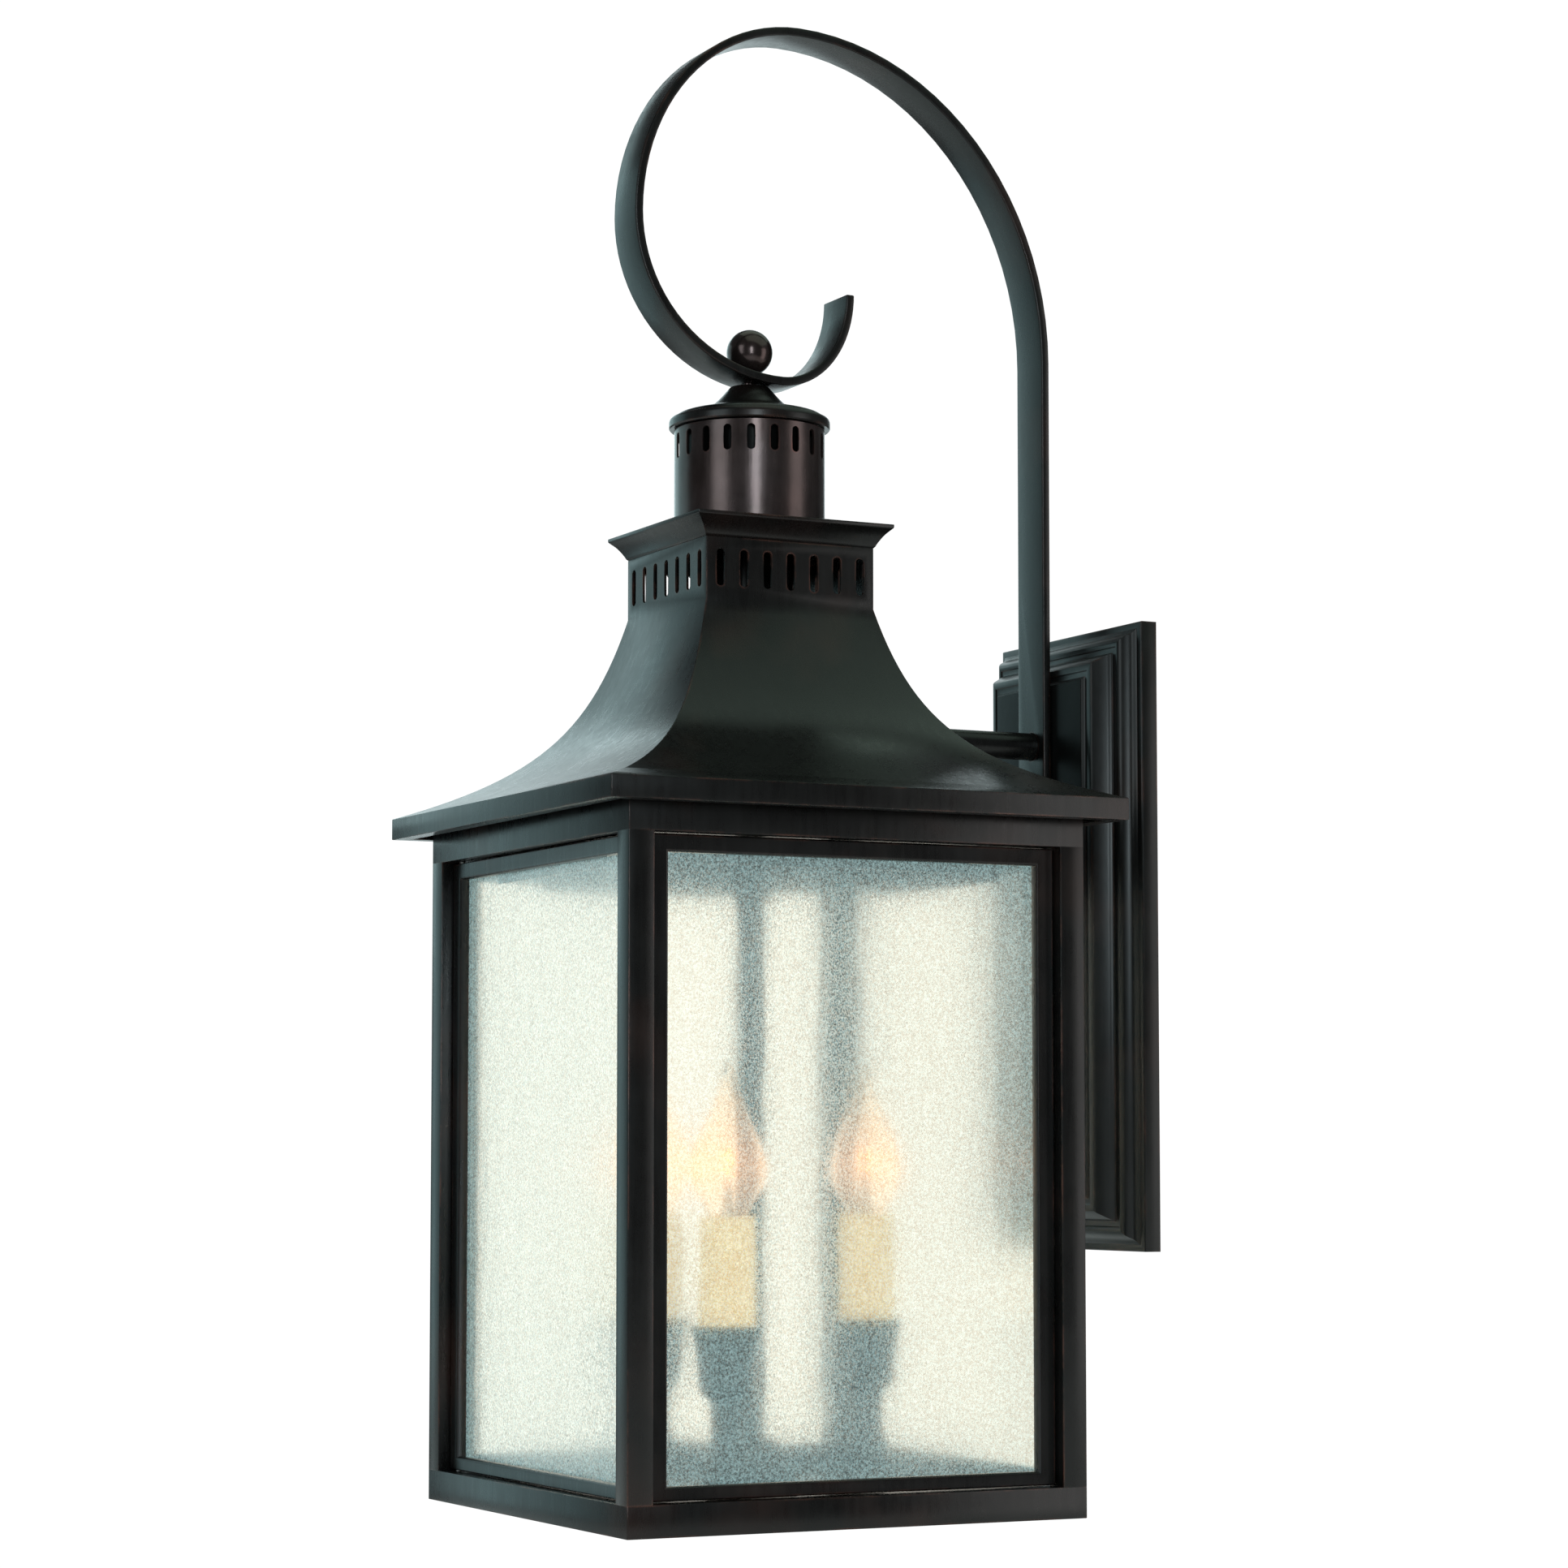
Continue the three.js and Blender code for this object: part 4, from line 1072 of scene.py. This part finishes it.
def crossbar():
    """The bar behind the plate, with its slots and holes, and the ground screw in it."""
    low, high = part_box("mounting_crossbar")
    taper = Vector((0, 0, 3 * MM))
    bar = block("mounting_crossbar", low + taper, high - taper)
    for end in (-1, 1):
        pick(bar, lambda _, normal: normal.z * end > 0.9)
        extrude(taper * end)
        scale((0.7, 1, 1), (0, 0, 0))
    leave()
    soften(bar, 0.35 * MM)
    holes = [bore(STUD_HOLE, low.y - MM, high.y + MM, 0, middle(stud).z, 20) for stud in STUDS]
    for z in (-26 * MM, 26 * MM):
        holes.append(slot_cutter(4.4 * MM, 12 * MM, 20 * MM, (0, middle("mounting_crossbar").y, z), pi / 2))
    ground_x, ground_z = 6 * MM, 12 * MM
    holes.append(bore(1.8 * MM, low.y - MM, high.y + MM, ground_x, ground_z, 20))
    hand_over(cut(bar, *holes), zinc_plate)
    ground = bored("ground_screw", [
        *past(low.y, [(3.6, -2.4), (4.4, -2.0), (4.4, -0.1), (1.5, -0.1)]),
        *past(high.y, [(1.5, -0.2), (1.1, 0)]),
    ], ground_x, ground_z, 24)
    hand_over(ground, brass_base, nodes=())


def plate_studs():
    for stud in STUDS:
        a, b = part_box(stud)
        hand_over(threaded(stud, 2 * MM, a.y, b.y, 0, middle(stud).z), zinc_plate)


def cap_nuts():
    """Domed nuts on the studs, with a collar against the plate."""
    for end in ("lower", "upper"):
        node = f"cap_nut_{end}"
        a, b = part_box(node)
        r = (b.x - a.x) / 2
        tall = b.y - a.y
        dome = [(r * cos(t), b.y - 0.42 * tall - 0.58 * tall * sin(t)) for t in (0, 0.3, 0.6, 0.9, 1.2, 1.42)]
        nut = bored(node, [
            (STUD_HOLE, b.y), (r - 0.4 * MM, b.y), (r, b.y - 0.4 * MM), (r, b.y - 0.3 * tall),
            (r - 0.5 * MM, b.y - 0.36 * tall), *dome, (STUD_HOLE, a.y + 0.2 * MM),
        ], 0, middle(node).z, 40, start="capped")
        hand_over(nut, brown_bronze)


def strip_screws():
    """Slotted pan heads behind the plate."""
    for i in (1, 2):
        node = f"strip_screw_{i}"
        a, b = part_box(node)
        head = b.y - 2.6 * MM
        screw = bored(node, [
            *past(a.y, [(1.6, 0), (2, 0.4)]), *past(head, [(2, 0), (3.9, 0), (4, 1.2)]),
            *past(b.y, [(3.3, -0.3), (2, 0)]),
        ], 0, middle(node).z, 24)
        slot = block("driver", (-5 * MM, b.y - 1.1 * MM, middle(node).z - 0.5 * MM),
                     (5 * MM, b.y + MM, middle(node).z + 0.5 * MM))
        leave()
        hand_over(cut(screw, slot), zinc_plate)


def arm_nuts():
    for node in ("arm_nut_plate", "arm_nut_roof"):
        a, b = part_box(node)
        nut = hex_nut(node, 18 * MM, a.y, b.y, 0, middle(node).z, 6.5 * MM)
        hand_over(nut, zinc_plate)


# ---- lamp cluster ----
def stem():
    """A tube with a tapped end and the lead's way in."""
    low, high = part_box("stem_tube")
    r = high.x
    tube = turned("stem_tube", [
        *rod(r, low.z, high.z, 0.5 * MM), *past(high.z, [(3.4, 0), (3.4, -14), (5, -14)]), (5 * MM, low.z),
    ], sides=48)
    entry_low, entry_high = 48 * MM, 96 * MM
    entry = block("entry", (-4 * MM, AXIS.y, entry_low), (4 * MM, AXIS.y + 10 * MM, entry_high))
    leave()
    hand_over(cut(tube, entry))


def roof_bridge():
    """A strap across the top frame, ribbed down its length, with the stem's hole."""
    low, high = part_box("roof_bridge")
    strap = block("roof_bridge", low, high)
    pick(strap, lambda _, normal: normal.z > 0.9)
    bpy.ops.mesh.inset(thickness=4 * MM, depth=0)
    bpy.ops.mesh.inset(thickness=0.8 * MM, depth=-0.6 * MM)
    leave()
    soften(strap, 0.3 * MM)
    hole = drill(WIREWAY_HOLE, low.z - MM, high.z + MM, AXIS.x, AXIS.y)
    hand_over(cut(strap, hole), zinc_plate)


def stem_nut():
    low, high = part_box("stem_nut")
    corner = (high.y - low.y) / 2
    nut = turned("stem_nut", rod(corner, low.z, high.z, 0.5 * MM), sides=6, start="capped")
    soften(nut, 0.2 * MM, angle=20)
    hand_over(cut(nut, drill(6.6 * MM, low.z - MM, high.z + MM, AXIS.x, AXIS.y)), zinc_plate)


def candle_places():
    return [middle(f"candle_sleeve_{i}") for i in (1, 2, 3)]


def cluster_body():
    """A cast hub with three arms, each ending in a boss that carries a cup."""
    low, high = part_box("cluster_body")
    arm_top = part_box("candle_cup_1")[0].z - 21.3 * MM
    hub = turned("cluster_body", [
        *past(low.z, [(20.5, 0), (22, 1.5)]),
        *past(arm_top, [(22, -8), (21, -5), (17, -1), (11, 2.4), (8.5, 3)]),
    ], sides=64, start="capped")
    cup_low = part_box("candle_cup_1")[0].z - TOUCH
    for place in candle_places():
        out = place - AXIS
        turn = atan2(out.y, out.x)
        reach = sqrt(out.x ** 2 + out.y ** 2)
        arm = block("arm", (0, -7 * MM, arm_top - 10 * MM), (reach, 7 * MM, arm_top))
        leave()
        soften(arm, 1.2 * MM, segments=3)
        arm.matrix_world = Matrix.Translation(AXIS) @ Matrix.Rotation(turn, 4, "Z")
        activate(arm)
        settle()
        boss = turned("boss", [
            *past(arm_top, [(8, -12), (9.5, -10.5), (9.5, 0), (8.6, 1.5), (7.6, 3), (7.1, 9)]),
            *past(cup_low, [(7.4, -3), (7.6, 0)]),
        ], place.x, place.y, 40, start="capped")
        cut(hub, arm, boss, operation="UNION")
    hand_over(cut(hub, drill(WIREWAY_HOLE, low.z - MM, high.z + 5 * MM, AXIS.x, AXIS.y)))


def candle_cup(name, x, y):
    """A turned cup: foot ring, bulb, waist and a flared lip round the sleeve."""
    low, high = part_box("candle_cup_1")
    lip = (high.x - low.x) / 2
    outside = flowing([
        *past(low.z, [(8.4, 2.3), (11.6, 4.7), (12.9, 8.3), (13.3, 15), (13.9, 23), (14.9, 29)]),
        (lip, low.z + 32.4 * MM),
    ], 3)
    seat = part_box("candle_sleeve_1")[0].z - TOUCH
    return turned(name, [
        *past(low.z, [(4, 0), (7.5, 0), (8.2, 0.7), (7.7, 1.5)]), *outside, (lip, high.z - 0.5 * MM),
        (lip - 0.5 * MM, high.z), *past(high.z, [(14.7, 0), (13.4, -6)]), *past(seat, [(13.1, 0), (4, 0)]),
    ], x, y, 48)


def candle_sleeve(name, x, y):
    """A cream sleeve with a soft rim and slightly uneven sides."""
    low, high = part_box("candle_sleeve_1")
    r = (high.x - low.x) / 2
    wall = MM
    inner = r - wall
    rings = 14
    sides = [(r - 0.12 * MM, low.z + (high.z - low.z - 1.2 * MM) * i / rings) for i in range(rings + 1)]
    shoulder = high.z - 0.4 * MM
    sleeve = turned(name, [
        *sides, (r - 0.3 * MM, shoulder), (r - wall / 2, high.z), (inner, shoulder), (inner, low.z),
    ], x, y, 48)
    activate(sleeve)
    enter()
    edge = 3 * MM
    pick(sleeve, lambda at, _: low.z + edge < at.z < high.z - edge, "VERT")
    bpy.ops.transform.vertex_random(offset=0.22 * MM, uniform=0, normal=1, seed=5)
    bpy.ops.mesh.vertices_smooth(factor=0.5, repeat=1)
    leave()
    return sleeve


def lamp_socket(name, x, y):
    """A moulded holder with a ribbed skirt and a bored mouth."""
    low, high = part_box("lamp_socket_1")
    r = (high.x - low.x) / 2
    mouth, deep = 6.3 * MM, 26 * MM
    ribs = []
    for i in range(4):
        at = low.z + 8 * MM + i * 4 * MM
        ribs += [(r - 0.6 * MM, at), (r - 0.6 * MM, at + 1.4 * MM), (r, at + 1.8 * MM), (r, at + 3.4 * MM)]
    socket = turned(name, [
        (r - 0.6 * MM, low.z), (r, low.z + 0.6 * MM), (r, low.z + 7 * MM), *ribs, (r, high.z - 0.5 * MM),
        (r - 0.5 * MM, high.z),
    ], x, y, 40, start="capped")
    return cut(socket, drill(mouth, high.z - deep, high.z + MM, x, y, 40))


def bulb_base(name, x, y):
    """A screw base: contact, skirt and rolled thread."""
    low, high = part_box("bulb_base_1")
    r = (high.x - low.x) / 2
    pitch = 2.5 * MM
    foot = low.z + 4 * MM
    rolled = []
    for i in range(int((high.z - foot - 3 * MM) / pitch)):
        turn = ((-0.5, 0), (-0.1, 0.7), (0, 1.25), (-0.1, 1.8))
        rolled += [(r + out * MM, foot + i * pitch + rise * MM) for out, rise in turn]
    return turned(name, [
        *past(low.z, [(1.6, 0), (2.6, 0.5), (3, 1.4)]), (r - 1.2 * MM, foot - 0.6 * MM), *rolled,
        (r, high.z - 1.5 * MM), (r, high.z),
    ], x, y, 32, start="capped")


def bulb_envelope(name, x, y):
    """A blown flame-tip envelope: a thin shell, open at its neck."""
    low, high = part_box("bulb_envelope_1")
    z = low.z
    tall = high.z - z
    wall = 0.8 * MM
    flame = [
        (6.4, 0), (7.4, 0.03), (10.6, 0.11), (15.8, 0.23), (17.3, 0.33), (15.4, 0.46), (11.2, 0.6),
        (6.6, 0.75), (2.9, 0.9),
    ]
    outline = flowing([(r * MM, z + share * tall) for r, share in flame], 4)
    inside = [(r - wall, h) for r, h in outline if r > 2 * wall]
    shell = turned("inner", [*inside, (0, z + 0.9 * tall)], x, y, 40, start="capped")
    body = turned(name, [*outline, (1.5 * MM, z + 0.97 * tall), (0, high.z)], x, y, 40, start="capped")
    activate(shell)
    shell.location.z = -0.2 * MM
    settle()
    return cut(body, shell)


def filament(name, x, y):
    """A glowing hairpin above the neck."""
    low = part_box("bulb_envelope_1")[0]
    foot = low.z + 22 * MM
    rise, half, turns, steps = 17 * MM, 3.4 * MM, 5, 50
    coil = 1.6 * MM
    points = []
    for i in range(steps + 1):
        share = i / steps
        turn = share * turns * 2 * pi
        height = foot + rise * sin(pi * share) * 0.6 + coil * sin(turn)
        points.append((x + half * (2 * share - 1), y + coil * cos(turn), height))
    return wire(name, points, 0.45 * MM)


def filament_support(name, x, y):
    """The glass-to-metal stem and the two lead-in wires that carry the filament."""
    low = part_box("bulb_envelope_1")[0]
    foot = low.z + 22 * MM
    profile = past(low.z, [(4.2, 0.4), (3.6, 3), (2, 8), (1.5, 14), (1, 17)])
    stalk = turned(name, profile, x, y, 20, start="capped")
    for side in (-1, 1):
        top = wire("support", [
            (x + side * 0.6 * MM, y, low.z + 15 * MM), (x + side * 2.4 * MM, y, low.z + 19 * MM),
            (x + side * 3.4 * MM, y, foot + 1.2 * MM),
        ], 0.3 * MM)
        activate(stalk)
        top.select_set(True)
        bpy.context.view_layer.objects.active = stalk
        bpy.ops.object.join()
    return stalk


def candles():
    """Each piece is modelled on the first candle and copied to the others."""
    first = candle_places()[0]
    pieces = [
        (candle_cup, slate_bronze, BRONZE, True), (candle_sleeve, candle_cream, "candle_cream", True),
        (lamp_socket, phenolic, "phenolic", True), (bulb_base, brass_base, "brass_base", True),
        (bulb_envelope, bulb_glass, "bulb_glass", True), (filament, filament_glow, "brass_base", False),
        (filament_support, zinc_plate, "zinc_plate", False),
    ]
    for make, material, slot, stands_for_node in pieces:
        model = make(f"{make.__name__}_1", first.x, first.y)
        for i, place in enumerate(candle_places(), 1):
            shift = Vector((place.x - first.x, place.y - first.y, 0))
            piece = model if i == 1 else twin(model, f"{make.__name__}_{i}", shift=shift)
            hand_over(piece, material, nodes=None if stands_for_node else ())


def supply_lead():
    """The lead stays as packed, inside the arm and the stem."""
    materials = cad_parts["supply_lead"].data.materials
    materials.clear()
    materials.append(lead_cover)


# ---- studio ----
def softbox(name, place, size, power, tint=(1, 1, 1)):
    """A rectangular light aimed at the lantern."""
    target = Vector((AXIS.x, AXIS.y, 0.08))
    light = bpy.data.lights.new(name, "AREA")
    light.shape = "RECTANGLE"
    light.size, light.size_y = size
    light.energy = power
    light.color = tint
    lamp = bpy.data.objects.new(name, light)
    lamp.location = place
    lamp.rotation_euler = (target - Vector(place)).to_track_quat("-Z", "Y").to_euler()
    lamp.visible_camera = False
    lamp.visible_transmission = False
    bpy.context.collection.objects.link(lamp)


def studio():
    world = bpy.data.worlds.new("studio")
    bpy.context.scene.world = world
    world.use_nodes = True
    nodes, links = world.node_tree.nodes, world.node_tree.links
    seen = nodes["Background"]
    seen.inputs["Color"].default_value = (1, 1, 1, 1)
    seen.inputs["Strength"].default_value = 1.05
    fill = nodes.new("ShaderNodeBackground")
    fill.inputs["Color"].default_value = (0.9, 0.97, 1.0, 1)
    fill.inputs["Strength"].default_value = 0.1
    path = nodes.new("ShaderNodeLightPath")
    direct = nodes.new("ShaderNodeMath")
    direct.operation = "MAXIMUM"
    links.new(path.outputs["Is Camera Ray"], direct.inputs[0])
    links.new(path.outputs["Is Transmission Ray"], direct.inputs[1])
    mix = nodes.new("ShaderNodeMixShader")
    links.new(direct.outputs["Value"], mix.inputs["Fac"])
    links.new(fill.outputs["Background"], mix.inputs[1])
    links.new(seen.outputs["Background"], mix.inputs[2])
    links.new(mix.outputs["Shader"], nodes["World Output"].inputs["Surface"])
    softbox("left_softbox", (-1.75, -1.1, 0.3), (1.3, 1.7), 5.4, (0.6, 0.96, 1.0))
    softbox("flank_softbox", (-2.0, -0.2, 0.75), (0.9, 1.1), 3, (0.68, 0.97, 1.0))
    softbox("back_left_softbox", (-1.9, 0.75, 0.5), (1.4, 1.6), 9, (0.82, 0.98, 1.0))
    softbox("front_softbox", (0.6, -2.0, 0.6), (0.8, 1.3), 7, (0.84, 0.97, 1.0))
    softbox("top_softbox", (0.15, 0.35, 1.6), (2.4, 2.4), 11, (0.72, 1.0, 0.82))
    softbox("camera_strip", (1.95, -0.75, 0.45), (0.3, 1.1), 10, (0.8, 0.95, 1.0))
    softbox("far_softbox", (1.2, 1.25, 0.0), (0.8, 1.6), 6, (1.0, 0.98, 0.96))
    bpy.context.scene.view_settings.view_transform = "Standard"


def floor():
    clear()
    bpy.ops.mesh.primitive_circle_add(vertices=96, radius=2.3, fill_type="NGON", location=(0, 0, -0.62))
    piece = begin("studio_floor")
    bpy.ops.mesh.select_all(action="SELECT")
    bpy.ops.mesh.inset(thickness=0.05, depth=-0.004)
    leave()
    f = Finish("pale_floor")
    f.colour(f.mix(f.noise(0.2), (0.86, 0.86, 0.85), (0.9, 0.9, 0.89)))
    f.roughness(f.ramp(f.noise(0.05), (0.3, 0.6), (0.7, 0.8)))
    f.glow((0.95, 0.9, 0.89), 0.22)
    piece.data.materials.append(f.material)


def camera():
    data = bpy.data.cameras.new("camera")
    data.lens = 90.4
    data.shift_y = 0.05
    view = bpy.data.objects.new("camera", data)
    view.location = (1.624, -0.983, -0.104)
    view.rotation_euler = (radians(90 + 4.30), 0, radians(63.21))
    bpy.context.collection.objects.link(view)
    bpy.context.scene.camera = view


camera()
studio()
floor()
cage_posts()
bottom_frame()
top_frame()
floor_plate()
door_hardware(panes())
roof_shell()
roof_collar()
chimney()
chimney_cap()
finial_ball()
scroll_strip()
support_arm()
backplate()
crossbar()
plate_studs()
cap_nuts()
strip_screws()
arm_nuts()
stem()
roof_bridge()
stem_nut()
cluster_body()
candles()
supply_lead()

clear()
